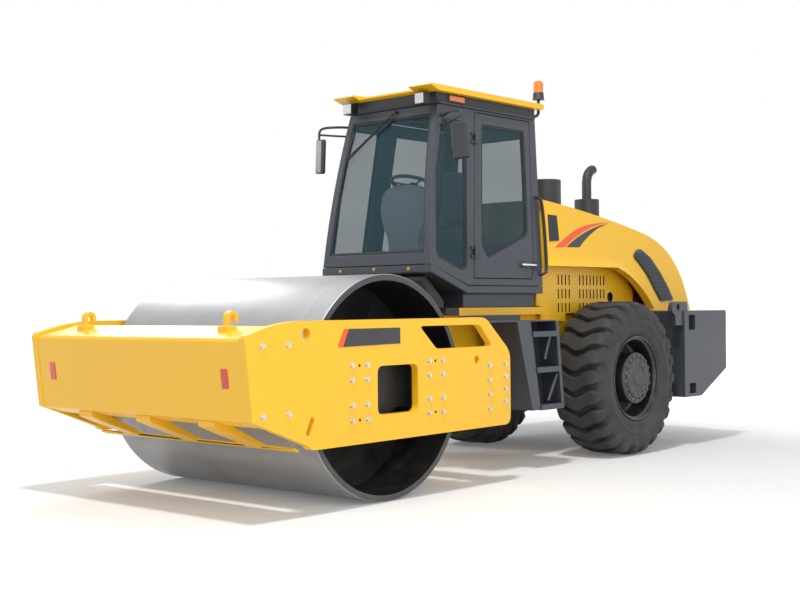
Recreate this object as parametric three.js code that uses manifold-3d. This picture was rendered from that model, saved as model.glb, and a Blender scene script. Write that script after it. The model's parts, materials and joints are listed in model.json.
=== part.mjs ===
// Single-drum vibratory soil roller, articulated, in millimetres.
// +X points forward to the drum, +Y to the machine's left, +Z up. The ground is z = 0.
import * as THREE from "three";
import { mergeVertices } from "three/addons/utils/BufferGeometryUtils.js";
import { ConvexGeometry } from "three/addons/geometries/ConvexGeometry.js";
import Module from "manifold-3d";

const wasm = await Module();
wasm.setup();

// ---- driving dimensions -------------------------------------------------------------------
const frontOverhang = 1413; // drum axle to the front of the drum frame
const wheelBase = 3430;
const rearOverhang = 1664; // rear axle to the back of the counterweight
const overallLength = frontOverhang + wheelBase + rearOverhang;
const drumX = overallLength / 2 - frontOverhang;
const axleX = drumX - wheelBase;
const pivotX = drumX - wheelBase / 2;
const fit = 0.3; // gap between faces that touch

const drumRadius = 800;
const drumWidth = 2170;
const drumShell = 45;
const sidePlate = 60;
const drumSideGap = 40; // drum end to the inside of a side plate
const frameInside = drumWidth / 2 + drumSideGap;
const frameOutside = frameInside + sidePlate;

const tireRadius = 700;
const tireWidth = 520;
const tireOutside = 1060;
const tireInside = tireOutside - tireWidth;
const rimRadius = 385;
const hubBore = 96;
const running = 0.7; // radial play of a shaft in its bore

const cab = {
  front: drumX - 1048, // foot of the windshield frame
  rear: drumX - 2560,
  rearTop: drumX - 2634,
  halfWidth: 599, // at sillTop
  sillTop: 1702,
  floorTop: 1535,
  floorBottom: 1471,
  skirtBottom: 1354,
  kneeX: drumX - 1515, // where the sloping sill meets the level one
  sideTop: 3020,
  roofBottom: 3112,
  roofTop: 3160,
  tilt: 0.0829, // how far each side leans in per millimetre of height
  wall: 50,
};

const hood = {
  front: drumX - 2612,
  rear: axleX - 1610,
  bottom: 1306,
  flankBottom: 1717,
  topFront: 2308,
  halfFront: cab.halfWidth + 7,
  halfRear: cab.halfWidth + 51,
  shell: 30,
  archRadius: 1750 - tireRadius, // its crown keeps its height over the ground
  lipRadius: 1860 - tireRadius, // where the wheel arch's lip starts to flare
  lipTop: 1850,
  lipBottom: 1330,
  lipFlare: 50,
};

const chassis = { outside: 430, plate: 90, bottom: 640, top: 1290, deckHalf: 560 };
const tank = { inside: 580, outside: 950, top: 1234, bottom: 500 };
const counterweight = {
  front: axleX - 828,
  rear: -overallLength / 2,
  half: 1060,
  top: 1303,
  lugTop: 1392,
  bottom: 475,
};

// The hood's flanks lean in like the cab's sides and spread a little towards the tail.
const flankLevel = 1780;
const flankNear = hood.front + 60;
const flankFar = hood.rear - 60;

function flankY(x, z) {
  const part = (flankNear - x) / (flankNear - flankFar);
  return hood.halfFront + part * (hood.halfRear - hood.halfFront) - (z - flankLevel) * cab.tilt;
}

// ---- materials ----------------------------------------------------------------------------
function paint(color, roughness, metalness) {
  return new THREE.MeshStandardMaterial({ color, roughness, metalness });
}
const yellow = paint(0xffc52e, 0.4, 0.1);
const darkGrey = paint(0x484a55, 0.5, 0.1);
const black = paint(0x1c1c1e, 0.6, 0.1);
const steel = paint(0x8b8d90, 0.4, 0.8);
const chrome = paint(0xd8d8da, 0.15, 1);
const rubber = paint(0x343230, 0.85, 0);
const glass = paint(0x9fc4c0, 0.05, 0);
const trim = paint(0x2a2b2f, 0.7, 0);
const amber = paint(0xff9a20, 0.3, 0);

// ---- solid helpers ------------------------------------------------------------------------
function toSolid(geometry) {
  const bare = geometry.clone();
  bare.deleteAttribute("normal");
  bare.deleteAttribute("uv");
  const merged = mergeVertices(bare, 1e-4);
  const mesh = new wasm.Mesh({
    numProp: 3,
    vertProperties: new Float32Array(merged.attributes.position.array),
    triVerts: new Uint32Array(merged.index.array),
  });
  return new wasm.Manifold(mesh);
}

function toGeometry(solid) {
  const mesh = solid.getMesh();
  const geometry = new THREE.BufferGeometry();
  geometry.setAttribute("position", new THREE.BufferAttribute(new Float32Array(mesh.vertProperties), 3));
  geometry.setIndex(new THREE.BufferAttribute(new Uint32Array(mesh.triVerts), 1));
  geometry.computeVertexNormals();
  return geometry;
}

function box(x0, x1, y0, y1, z0, z1) {
  const geometry = new THREE.BoxGeometry(x1 - x0, y1 - y0, z1 - z0);
  geometry.translate((x0 + x1) / 2, (y0 + y1) / 2, (z0 + z1) / 2);
  return toSolid(geometry);
}

// A cylinder along one axis, centred on (x, y, z).
function rod(axis, radius, length, x, y, z, sides = 32) {
  const geometry = new THREE.CylinderGeometry(radius, radius, length, sides);
  if (axis === "x") geometry.rotateZ(-Math.PI / 2);
  if (axis === "z") geometry.rotateX(Math.PI / 2);
  geometry.translate(x, y, z);
  return toSolid(geometry);
}

// An outline drawn in X and Z, given thickness from y0 to y1.
function sideExtrude(shape, y0, y1, curveSegments = 6) {
  const geometry = new THREE.ExtrudeGeometry(shape, { depth: y1 - y0, bevelEnabled: false, curveSegments });
  geometry.rotateX(Math.PI / 2);
  geometry.translate(0, y1, 0);
  return toSolid(geometry);
}

function polygon(points) {
  return new THREE.Shape(points.map(([x, z]) => new THREE.Vector2(x, z)));
}

// A polygon whose corners are rounded by the given radius.
function roundedPolygon(points, radius) {
  const shape = new THREE.Shape();
  const corners = points.map(([x, z]) => new THREE.Vector2(x, z));
  corners.forEach((corner, i) => {
    const before = corners[(i + corners.length - 1) % corners.length];
    const after = corners[(i + 1) % corners.length];
    const wanted = Array.isArray(radius) ? radius[i] : radius;
    const r = Math.min(wanted, corner.distanceTo(before) * 0.48, corner.distanceTo(after) * 0.48);
    const start = corner.clone().add(before.clone().sub(corner).setLength(r));
    const end = corner.clone().add(after.clone().sub(corner).setLength(r));
    if (i === 0) shape.moveTo(start.x, start.y);
    else shape.lineTo(start.x, start.y);
    if (r > 0) shape.quadraticCurveTo(corner.x, corner.y, end.x, end.y);
  });
  shape.closePath();
  return shape;
}

// A round bar that follows a path of points.
function bar(points, radius, sides = 8, steps = 16) {
  const path = new THREE.CatmullRomCurve3(points.map((p) => new THREE.Vector3(...p)), false, "centripetal");
  const section = new THREE.Shape();
  section.absarc(0, 0, radius, 0, Math.PI * 2);
  const geometry = new THREE.ExtrudeGeometry(section, {
    steps,
    bevelEnabled: false,
    extrudePath: path,
    curveSegments: sides / 2,
  });
  return toSolid(geometry);
}

// A cylinder from one point to another.
function strut(from, to, radius, sides = 20) {
  const along = to.clone().sub(from);
  const geometry = new THREE.CylinderGeometry(radius, radius, along.length(), sides);
  const up = new THREE.Vector3(0, 1, 0);
  const turn = new THREE.Quaternion().setFromUnitVectors(up, along.clone().normalize());
  geometry.applyQuaternion(turn);
  geometry.translate(...from.clone().add(to).multiplyScalar(0.5).toArray());
  return toSolid(geometry);
}

// A turned piece about the Y axis: profile points are [radius, y].
function turned(profile, segments = 48) {
  const geometry = new THREE.LatheGeometry(profile.map(([r, y]) => new THREE.Vector2(r, y)), segments);
  return toSolid(geometry);
}

function union(...solids) {
  return solids.reduce((a, b) => a.add(b));
}

function mirrored(solid) {
  return solid.mirror([0, 1, 0]);
}

// ---- scene graph --------------------------------------------------------------------------
const group = new THREE.Group();

function add(parent, name, solid, material, position = [0, 0, 0]) {
  const mesh = new THREE.Mesh(toGeometry(solid), material);
  mesh.name = name;
  mesh.position.set(...position);
  parent.add(mesh);
  return mesh;
}

function addPair(parent, name, solid, material) {
  add(parent, `left_${name}`, solid, material);
  add(parent, `right_${name}`, mirrored(solid), material);
}

// ---- drum module --------------------------------------------------------------------------
const hub = { bore: 120, radius: 180, web: 620, webThick: 30, end: 860 };

function makeDrum() {
  const half = drumWidth / 2;
  const inner = drumRadius - drumShell;
  const ring = turned([
    [inner, -half],
    [drumRadius, -half],
    [drumRadius, half],
    [inner, half],
    [inner, -half],
  ], 64);
  const tube = turned([
    [hub.bore, -hub.end],
    [hub.radius, -hub.end],
    [hub.radius, hub.end],
    [hub.bore, hub.end],
    [hub.bore, -hub.end],
  ], 48);
  let drum = ring.add(tube);
  for (const side of [-1, 1]) {
    const web = turned([
      [hub.radius - 5, -hub.webThick / 2],
      [inner + 5, -hub.webThick / 2],
      [inner + 5, hub.webThick / 2],
      [hub.radius - 5, hub.webThick / 2],
      [hub.radius - 5, -hub.webThick / 2],
    ], 64);
    drum = drum.add(web.translate([0, side * hub.web, 0]));
    for (let i = 0; i < 4; i += 1) {
      const angle = (i + 0.5) * Math.PI / 2;
      const reach = (hub.radius + inner) / 2;
      const x = reach * Math.cos(angle);
      const z = reach * Math.sin(angle);
      drum = drum.subtract(rod("y", 110, 80, x, side * hub.web, z, 16));
    }
  }
  return drum;
}
add(group, "drum", makeDrum(), steel, [drumX, 0, drumRadius]);

const bolts = { near: 315, far: 465, low: 604, high: 975 };
const mountBottom = bolts.low - 50;
const mountTop = bolts.high + 50;

function makeDrumMount() {
  const face = frameInside - fit;
  const flangeThick = 25;
  const inset = 985;
  const parts = [];
  for (const side of [-1, 1]) {
    const x0 = drumX + side * (bolts.near - 45);
    const x1 = drumX + side * (bolts.far + 45);
    parts.push(box(Math.min(x0, x1), Math.max(x0, x1), face - flangeThick, face, mountBottom, mountTop));
    parts.push(box(Math.min(x0, x1) + 40, Math.max(x0, x1) - 40, inset, face - 5, mountBottom + 60, mountTop - 60));
  }
  parts.push(box(drumX - bolts.far, drumX + bolts.far, inset, inset + 35, drumRadius - 150, drumRadius + 150));
  parts.push(rod("y", 210, 60, drumX, inset + 5, drumRadius, 40));
  parts.push(rod("y", hub.bore - running, inset - 700, drumX, (inset + 700) / 2, drumRadius, 48));
  return union(...parts);
}
addPair(group, "drum_mount", makeDrumMount(), black);

// Corners of the side plate, measured from the drum axle.
const plate = {
  front: frontOverhang,
  frontLow: 1356,
  frontLowZ: 657,
  cornerZ: 1167,
  top: 1282,
  topFront: 930,
  topRear: -936,
  slantLow: 1010,
  rear: -1305,
  bottom: 443,
  bottomFront: 815,
  cornerBolts: { x: [1049, 1271], z: [687, 1128], radius: 16, height: 15 },
};

function makeSidePlate() {
  const outline = new THREE.Shape();
  outline.moveTo(drumX + plate.front, plate.cornerZ);
  outline.quadraticCurveTo(drumX + plate.front - 5, plate.cornerZ + 38, drumX + plate.front - 55, plate.cornerZ + 42);
  outline.quadraticCurveTo(drumX + 1150, plate.top - 6, drumX + plate.topFront, plate.top);
  outline.lineTo(drumX + plate.topRear, plate.top);
  outline.quadraticCurveTo(drumX - 1010, plate.top, drumX - 1060, 1228);
  outline.lineTo(drumX - 1255, 1058);
  outline.quadraticCurveTo(drumX + plate.rear, plate.slantLow, drumX + plate.rear, 950);
  outline.lineTo(drumX + plate.rear, 520);
  outline.quadraticCurveTo(drumX + plate.rear, 455, drumX - 1240, 452);
  outline.lineTo(drumX + plate.bottomFront, plate.bottom - 4);
  outline.quadraticCurveTo(drumX + plate.bottomFront + 50, plate.bottom, drumX + 870, 468);
  outline.lineTo(drumX + plate.frontLow, plate.frontLowZ);
  outline.closePath();
  const window = roundedPolygon([
    [drumX - 212, 624], [drumX + 212, 624], [drumX + 212, 962], [drumX - 212, 962],
  ], 55);
  const access = roundedPolygon([
    [drumX - 420, 1060], [drumX - 1085, 1062], [drumX - 925, 1228], [drumX - 235, 1228],
  ], [30, 55, 30, 40]);
  outline.holes.push(window, access);
  let solid = sideExtrude(outline, frameInside, frameOutside);
  const lift = rod("y", 38, sidePlate * 2, drumX + 890, frameOutside - sidePlate / 2, 1197, 24);
  const eye = rod("y", 30, sidePlate * 2, drumX - 889, frameOutside - sidePlate / 2, 965, 20);
  const slot = sideExtrude(roundedPolygon([
    [drumX + 815, 647], [drumX + 868, 530], [drumX + 902, 546], [drumX + 849, 663],
  ], 19), frameInside - 10, frameOutside + 10, 4);
  solid = solid.subtract(lift).subtract(eye).subtract(slot);
  for (const x of plate.cornerBolts.x) {
    for (const z of plate.cornerBolts.z) {
      const height = plate.cornerBolts.height;
      solid = solid.add(rod("y", plate.cornerBolts.radius, height + 2, drumX + x, frameOutside + height / 2 - 1, z, 6));
    }
  }
  return solid;
}
addPair(group, "side_plate", makeSidePlate(), yellow);

function beamSection() {
  const section = new THREE.Shape();
  section.moveTo(drumX + 1350, 655);
  section.lineTo(drumX + 1405, 1150);
  section.quadraticCurveTo(drumX + 1403, 1178, drumX + 1375, 1186);
  section.lineTo(drumX + 1075, 1250);
  section.lineTo(drumX + 1015, 1250);
  section.lineTo(drumX + 1015, 720);
  section.lineTo(drumX + 1185, 602);
  section.closePath();
  return section;
}

function makeFrontBeam() {
  const inside = frameInside - fit;
  const beam = sideExtrude(beamSection(), -inside, inside);
  const hook = { y: 788, x: 1183, z: 1302, outer: 50, inner: 20, thick: 44, drop: 22 };
  const curl = new THREE.Shape();
  const hookX = drumX + hook.x;
  curl.moveTo(hookX + hook.outer, 1235);
  curl.lineTo(hookX + hook.outer, hook.z);
  curl.absarc(hookX, hook.z, hook.outer, 0, Math.PI, false);
  curl.lineTo(hookX - hook.outer, hook.z - hook.drop);
  curl.lineTo(hookX - hook.inner, hook.z - hook.drop);
  curl.lineTo(hookX - hook.inner, hook.z);
  curl.absarc(hookX, hook.z, hook.inner, Math.PI, 0, true);
  curl.lineTo(hookX + hook.inner, 1235);
  const hooks = [-1, 1].map((side) => {
    const y = side * hook.y;
    return sideExtrude(curl, y - hook.thick / 2, y + hook.thick / 2, 8);
  });
  const feet = [-1, 1].map((side) => {
    const y = side * hook.y;
    return box(hookX - 15, hookX + 75, y - 45, y + 45, 1200, 1252);
  });
  return union(beam, ...feet, ...hooks);
}
add(group, "front_beam", makeFrontBeam(), yellow);

const yoke = { front: pivotX + 565, half: 110, z: 800, joint: 215 };

function makeRearBeam() {
  const y = frameInside - fit;
  const rearBeamFront = drumX - 1000;
  const body = sideExtrude(roundedPolygon([
    [yoke.front, 560], [rearBeamFront, 560], [rearBeamFront, 1000], [yoke.front, 1000],
  ], 25), -y, y, 4);
  const flanges = [-1, 1].map((side) => box(
    drumX - 1285, rearBeamFront + 10, Math.min(side * y, side * (y - 25)), Math.max(side * y, side * (y - 25)), 540, 970,
  ));
  const rise = box(yoke.front + 10, rearBeamFront - 60, -430, 430, 990, 1095);
  const tongue = box(pivotX + yoke.joint + 45, yoke.front + 5, -yoke.half, yoke.half, yoke.z - 150, yoke.z + 150);
  const bearing = rod("x", 165, 60, pivotX + yoke.joint + 30 + fit, 0, yoke.z, 40);
  return union(body, rise, tongue, bearing, ...flanges);
}
add(group, "rear_beam", makeRearBeam(), yellow);

function makeFrontScraper() {
  // A thin bar across the drum, hung under the front beam on three broad arms.
  const half = 1060;
  const cross = sideExtrude(polygon([
    [drumX + 840, 434], [drumX + 847, 418], [drumX + 896, 438], [drumX + 889, 454],
  ]), -half, half);
  const arms = [-670, 0, 670].map((y) => sideExtrude(polygon([
    [drumX + 852, 452], [drumX + 868, 428], [drumX + 1205, 560], [drumX + 1300, 600], [drumX + 1300, 700],
    [drumX + 1150, 700], [drumX + 1130, 590],
  ]), y - 80, y + 80));
  const beamBlank = sideExtrude(beamSection(), -frameInside, frameInside).translate([0, 0, -fit]);
  return union(cross, ...arms.map((arm) => arm.subtract(beamBlank)));
}
add(group, "front_scraper", makeFrontScraper(), yellow);

function makeRearScraper() {
  const half = 1060;
  const cross = sideExtrude(polygon([
    [drumX - 790, 445], [drumX - 770, 425], [drumX - 905, 470], [drumX - 925, 490],
  ]), -half, half);
  const brackets = [-880, -300, 300, 880].map((y) => sideExtrude(polygon([
    [drumX - 880, 480], [drumX - 880, 455], [drumX - 1120, 520], [drumX - 1120, 560 - fit], [drumX - 1020, 560 - fit],
  ]), y - 15, y + 15));
  return union(cross, ...brackets);
}
add(group, "rear_scraper", makeRearScraper(), yellow);

// ---- centre joint -------------------------------------------------------------------------
// Each steering cylinder's eye slides under its arm, because it can't follow the arm's arc exactly.
const steerArm = { x: 100, y: 260, half: 35, low: 30, high: 75, boss: 40 };
const jointTop = 985;
const jointBottom = 615;

function makeCentreJoint() {
  const block = box(pivotX - 90, pivotX + 150, -100, 100, jointBottom, jointTop);
  const housing = rod("x", 165, 80, pivotX + yoke.joint - 40, 0, yoke.z, 28);
  const pin = rod("z", 60, 480, pivotX, 0, yoke.z, 32);
  const arms = box(
    pivotX + steerArm.x - steerArm.half, pivotX + steerArm.x + steerArm.half, -steerArm.y, steerArm.y,
    yoke.z + steerArm.low, yoke.z + steerArm.high,
  );
  const ends = [-1, 1].map((side) => {
    const height = steerArm.high - steerArm.low + 2;
    return rod("z", steerArm.boss, height, pivotX + steerArm.x, side * steerArm.y, yoke.z + steerArm.high - height / 2, 20);
  });
  const caps = [-1, 1].map((side) => rod(
    "z", 22, 20, pivotX + steerArm.x, side * steerArm.y, yoke.z + steerArm.high + 8, 16,
  ));
  return union(block, housing, pin, arms, ...ends, ...caps);
}
add(group, "centre_joint", makeCentreJoint(), black);

// ---- steering cylinders -------------------------------------------------------------------
const ram = { base: pivotX - 560, radius: 42, rodRadius: 22, eye: 40, bore: 26, barrelEnd: 405, rodLength: 427 };
const ramReach = steerArm.x + pivotX - ram.base; // eye to eye with the steering straight

function makeRamBarrel(side) {
  const y = side * steerArm.y;
  const tube = rod("x", ram.radius, ram.barrelEnd - 52, ram.base + (ram.barrelEnd + 52) / 2, y, yoke.z, 16);
  const eye = rod("z", ram.eye, 60, ram.base, y, yoke.z, 16);
  const neck = box(ram.base + 25, ram.base + 60, y - 22, y + 22, yoke.z - 22, yoke.z + 22);
  const bore = rod("x", ram.rodRadius + running, ram.barrelEnd, ram.base + 68 + ram.barrelEnd / 2, y, yoke.z, 16);
  const pinHole = rod("z", ram.bore, 80, ram.base, y, yoke.z, 16);
  return union(tube, eye, neck).subtract(bore).subtract(pinHole);
}

function makeRamRod(side) {
  const y = side * steerArm.y;
  const eyeX = ram.base + ramReach;
  const start = eyeX - ram.rodLength;
  const shaftEnd = eyeX - ram.eye + 10;
  const shaft = rod("x", ram.rodRadius, shaftEnd - start, (shaftEnd + start) / 2, y, yoke.z, 16);
  const eye = rod("z", ram.eye, 50, eyeX, y, yoke.z, 20);
  const pin = rod("z", 20, 76, eyeX, y, yoke.z - 13, 16);
  return union(shaft, eye, pin);
}
for (const [name, side] of [["left", 1], ["right", -1]]) {
  add(group, `${name}_ram_barrel`, makeRamBarrel(side), yellow);
  add(group, `${name}_ram_rod`, makeRamRod(side), chrome);
}

// ---- rear chassis -------------------------------------------------------------------------
function makeChassis() {
  const railFront = pivotX + 60;
  const railShape = polygon([
    [railFront, chassis.bottom], [pivotX + 235, 1030], [pivotX + 235, chassis.top + 5],
    [counterweight.front + fit, chassis.top + 5], [counterweight.front + fit, 560], [axleX - 500, 560],
    [axleX - 300, 900], [axleX + 300, 900], [axleX + 450, chassis.bottom],
  ]);
  const parts = [];
  for (const side of [-1, 1]) {
    const y0 = side > 0 ? chassis.outside - chassis.plate : -chassis.outside;
    parts.push(sideExtrude(railShape, y0, y0 + chassis.plate));
    // fork ears above and below the centre joint, tied to the rails
    parts.push(rod("z", ram.bore - running, 90, ram.base, side * steerArm.y, yoke.z, 24));
    parts.push(box(ram.base - 40, ram.base + 40, Math.min(side * (steerArm.y - 45), side * 360),
      Math.max(side * (steerArm.y - 45), side * 360), yoke.z + 40, yoke.z + 65));
    parts.push(box(ram.base - 40, ram.base + 40, Math.min(side * (steerArm.y - 45), side * 360),
      Math.max(side * (steerArm.y - 45), side * 360), yoke.z - 65, yoke.z - 40));
  }
  const earHole = rod("z", 60 + running, 200, pivotX, 0, jointTop + 60, 32);
  const earHoleLow = rod("z", 60 + running, 200, pivotX, 0, jointBottom - 60, 32);
  const earTop = box(pivotX - 700, pivotX + 110, -345, 345, jointTop + 35, jointTop + 85).subtract(earHole);
  const earLow = box(pivotX - 700, pivotX + 90, -130, 130, jointBottom - 55, jointBottom - 8).subtract(earHoleLow);
  const lowTie = box(pivotX - 700, pivotX - 640, -345, 345, jointBottom - 55, jointBottom + 200);
  const deck = box(pivotX - 935, drumX - 1290, -chassis.deckHalf, chassis.deckHalf, chassis.top, cab.skirtBottom - fit);
  const nose = sideExtrude(polygon([
    [drumX - 1290 - 10, chassis.top], [drumX - 1290, chassis.top], [drumX - 1060, 1575],
    [drumX - 1060, 1605], [drumX - 1110, 1612], [drumX - 1330, cab.skirtBottom + 55], [drumX - 1330, chassis.top + 20],
  ]), -500, 500);
  const rear = box(counterweight.front + fit, axleX + 700, -chassis.outside, chassis.outside, 1180, chassis.top);
  return union(...parts, earTop, earLow, lowTie, deck, nose, rear);
}
add(group, "rear_chassis", makeChassis(), yellow);

function makeAxle() {
  const tube = rod("y", 120, 2 * (tireInside - 20), axleX, 0, tireRadius, 32);
  const spindle = rod("y", hubBore - running, 2 * (tireInside + 150), axleX, 0, tireRadius, 36);
  const differential = toSolid(new THREE.SphereGeometry(215, 16, 10).rotateX(Math.PI / 2).translate(axleX, 0, tireRadius));
  const pads = [-1, 1].map((side) => box(axleX - 110, axleX + 110, side * 385 - 40, side * 385 + 40, tireRadius, 900 - fit));
  return union(tube, spindle, differential, ...pads);
}
add(group, "rear_axle", makeAxle(), black);

add(group, "engine_block", box(axleX - 720, axleX + 420, -270, 270, 1290 + fit, 1830), black);

function makeCounterweight() {
  const c = counterweight;
  const section = roundedPolygon([
    [c.front, c.bottom], [axleX - 1148, c.bottom], [c.rear, 725], [c.rear, c.top], [c.front, c.top],
  ], [15, 10, 25, 25, 10]);
  let body = sideExtrude(section, -c.half, c.half, 5);
  for (const side of [-1, 1]) {
    const y0 = side > 0 ? c.half - 60 : -c.half - 10;
    const pocket = (x0, x1, z0, z1) => box(drumX + x0, drumX + x1, y0, y0 + 70, z0, z1);
    body = body.subtract(pocket(-4463, -4339, 1120, 1262)).subtract(pocket(-4473, -4346, 508, 604));
  }
  const eyes = [-1, 1].map((side) => {
    const y = side * (c.half - 40);
    const lug = sideExtrude(roundedPolygon([
      [c.front - 87, c.top - 5], [c.front - 87, c.lugTop], [c.front + 188, c.lugTop], [c.front + 208, 1290],
      [c.front + 148, 1262], [c.front + 140, 1165], [c.front - 5, 1165], [c.front - 5, c.top - 5],
    ], [0, 40, 60, 25, 15, 10, 0, 0]), y - 25, y + 25, 5);
    return lug.subtract(rod("y", 32, 80, c.front + 93, y, 1338, 20));
  });
  const rests = [-1, 1].map((side) => {
    const y = side * (flankY(c.front - 100, hood.bottom) - hood.shell / 2);
    return box(c.front - 140, c.front - 60, y - 12, y + 12, c.top - 5, hood.bottom - fit);
  });
  return union(body, ...eyes, ...rests);
}
add(group, "counterweight", makeCounterweight(), darkGrey);

// ---- tanks, decks and steps ---------------------------------------------------------------
const step = { recessTop: drumX - 1905, recessLow: drumX - 2040, rearTop: drumX - 2305, rearLow: drumX - 2385 };

function makeTank() {
  const frontTop = drumX - 1720;
  const frontLow = drumX - 1926;
  const full = sideExtrude(roundedPolygon([
    [frontLow, tank.bottom], [frontTop, tank.top], [step.rearTop, tank.top], [step.rearLow, tank.bottom],
  ], [4, 4, 60, 10]), tank.inside, tank.outside - 200, 6);
  const front = sideExtrude(polygon([
    [frontLow, tank.bottom], [frontTop, tank.top], [step.recessTop, tank.top], [step.recessLow, tank.bottom],
  ]), tank.outside - 210, tank.outside);
  const lug = box(drumX - 2275, drumX - 2095, chassis.outside + fit, tank.inside + 10, 1000, 1100);
  return union(full, front, lug);
}
addPair(group, "tank", makeTank(), darkGrey);

function makeSteps() {
  const y0 = tank.outside - 200 + fit;
  const y1 = tank.outside;
  const slope = (z) => (tank.top - z) / (tank.top - tank.bottom);
  const frontAt = (z) => step.recessTop + (step.recessLow - step.recessTop) * slope(z) - fit;
  const rearAt = (z) => step.rearTop + (step.rearLow - step.rearTop) * slope(z);
  const cheek = sideExtrude(roundedPolygon([
    [rearAt(tank.bottom + 5) + 40, tank.bottom + 5], [rearAt(tank.top) + 40, tank.top],
    [rearAt(tank.top), tank.top], [rearAt(tank.bottom + 5), tank.bottom + 5],
  ], [5, 5, 38, 10]), y0, y1, 5);
  const back = sideExtrude(polygon([
    [rearAt(tank.bottom + 5) + 20, tank.bottom + 5], [rearAt(tank.top) + 20, tank.top],
    [frontAt(tank.top), tank.top], [frontAt(tank.bottom + 5), tank.bottom + 5],
  ]), y0, y0 + 12);
  const treads = [1152, 854, 540].map((z) => box(rearAt(z) + 20, frontAt(z - 40) - 2, y0 + 5, y1 + 10, z - 45, z));
  const deckFront = drumX - 1283;
  const deckRear = step.rearTop + 30;
  const deckInside = chassis.deckHalf + fit;
  const deck = box(deckRear, deckFront, deckInside + 2, tank.outside, tank.top + fit, tank.top + 11);
  const upstand = box(deckRear, drumX - 1440, deckInside, deckInside + 14, tank.top + fit, 1288);
  const joint = box(rearAt(tank.top) + 20, step.recessTop - 5, y0, y0 + 12, tank.top - 20, tank.top + 5);
  return union(cheek, back, deck, upstand, joint, ...treads);
}
addPair(group, "steps", makeSteps(), darkGrey);

// ---- cab ----------------------------------------------------------------------------------
const lean = Math.atan(cab.tilt);
const glassThick = 8;

// The front of the cab is a shallow arc between the sill and the roof rail.
const foot = new THREE.Vector2(cab.front, cab.sillTop);
const head = new THREE.Vector2(drumX - 1291, cab.sideTop);
const frontRadius = 6850;
const chord = head.clone().sub(foot);
const rise = chord.lengthSq() / (8 * frontRadius);
const arcCentre = foot.clone().add(head).multiplyScalar(0.5)
  .add(new THREE.Vector2(-chord.y, chord.x).setLength(frontRadius - rise));

function frontArc(shape, inset, z0, z1) {
  const radius = frontRadius - inset;
  const angle = (z) => Math.asin((z - arcCentre.y) / radius);
  shape.absarc(arcCentre.x, arcCentre.y, radius, angle(z0), angle(z1), false);
}

// Side view of the cab above its sill, raised by "lift" off the sill and kept under the roof rail.
function cabOutline(lift) {
  const shape = new THREE.Shape();
  frontArc(shape, 0, cab.sillTop + lift, cab.sideTop - lift);
  shape.lineTo(cab.rearTop, cab.sideTop - lift);
  shape.lineTo(cab.rear, cab.floorTop + lift);
  shape.lineTo(cab.kneeX, cab.floorTop + lift);
  shape.closePath();
  return shape;
}

// What lies behind the front wall and ahead of the rear wall when each is "inset" thick.
function cabInside(inset) {
  const past = 200;
  const shape = new THREE.Shape();
  frontArc(shape, inset, cab.floorTop - past, cab.sideTop + past);
  const rearSlope = (cab.rearTop - cab.rear) / (cab.sideTop - cab.floorTop);
  shape.lineTo(cab.rearTop + rearSlope * past + inset, cab.sideTop + past);
  shape.lineTo(cab.rear - rearSlope * past + inset, cab.floorTop - past);
  shape.closePath();
  return shape;
}

// The tapered block between the two leaning cab sides, "inset" in from their outer faces.
function betweenSides(inset) {
  const z0 = 1300;
  const z1 = 3300;
  const y0 = cab.halfWidth - (z0 - cab.sillTop) * cab.tilt - inset;
  const y1 = cab.halfWidth - (z1 - cab.sillTop) * cab.tilt - inset;
  const points = [];
  for (const x of [cab.rear - 600, cab.front + 600]) {
    for (const side of [-1, 1]) {
      points.push(new THREE.Vector3(x, side * y0, z0), new THREE.Vector3(x, side * y1, z1));
    }
  }
  return toSolid(new ConvexGeometry(points));
}

// A flat outline (x, z) laid on the left cab side: "depth" thick, its outer face "inset" in from the skin.
function onSide(shape, inset, depth, segments = 5) {
  const geometry = new THREE.ExtrudeGeometry(shape, { depth, bevelEnabled: false, curveSegments: segments });
  geometry.translate(0, -cab.sillTop, 0);
  geometry.scale(1, 1 / Math.cos(lean), 1);
  geometry.rotateX(Math.PI / 2);
  geometry.translate(0, -inset, 0);
  geometry.rotateX(lean);
  geometry.translate(0, cab.halfWidth, cab.sillTop);
  return toSolid(geometry);
}

const doorGap = 8;
const sideLift = 5; // the leaning side's inner edge dips this much

const door = {
  front: [drumX - 1601, 1602],
  frontTop: [drumX - 1771, 2990],
  rearTop: [drumX - 2540, 2990],
  rearLow: [drumX - 2400, 1602],
};
const doorOutline = [door.front, door.rearLow, [drumX - 2440, 1700], door.rearTop, door.frontTop];
const doorGlass = [
  [drumX - 1725, 1875], [drumX - 1800, 1762], [drumX - 2365, 1968], [drumX - 2400, 2020],
  [drumX - 2435, 2460], [drumX - 2455, 2905], [drumX - 1850, 2905],
];
const quarterGlass = [
  [drumX - 1128, 1800], [drumX - 1165, 1755], [drumX - 1440, 1655], [drumX - 1515, 1690],
  [drumX - 1560, 2100], [drumX - 1650, 2905], [drumX - 1325, 2905], [drumX - 1195, 2450],
];

function grow(points, amount) {
  const centre = points.reduce((s, p) => [s[0] + p[0] / points.length, s[1] + p[1] / points.length], [0, 0]);
  return points.map((p, i) => {
    const a = points[(i + points.length - 1) % points.length];
    const b = points[(i + 1) % points.length];
    const n1 = new THREE.Vector2(p[1] - a[1], -(p[0] - a[0])).normalize();
    const n2 = new THREE.Vector2(b[1] - p[1], -(b[0] - p[0])).normalize();
    const n = n1.clone().add(n2).normalize();
    const outward = n.dot(new THREE.Vector2(p[0] - centre[0], p[1] - centre[1])) > 0 ? 1 : -1;
    const reach = amount / Math.max(0.35, n.dot(n1));
    return [p[0] + n.x * reach * outward, p[1] + n.y * reach * outward];
  });
}

// Door hinges: two knuckles on each door turn on pins held by the cab side.
const hinge = { out: 18, pin: 8, outer: 16, half: 22, heights: [1812, 2775] };

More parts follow.
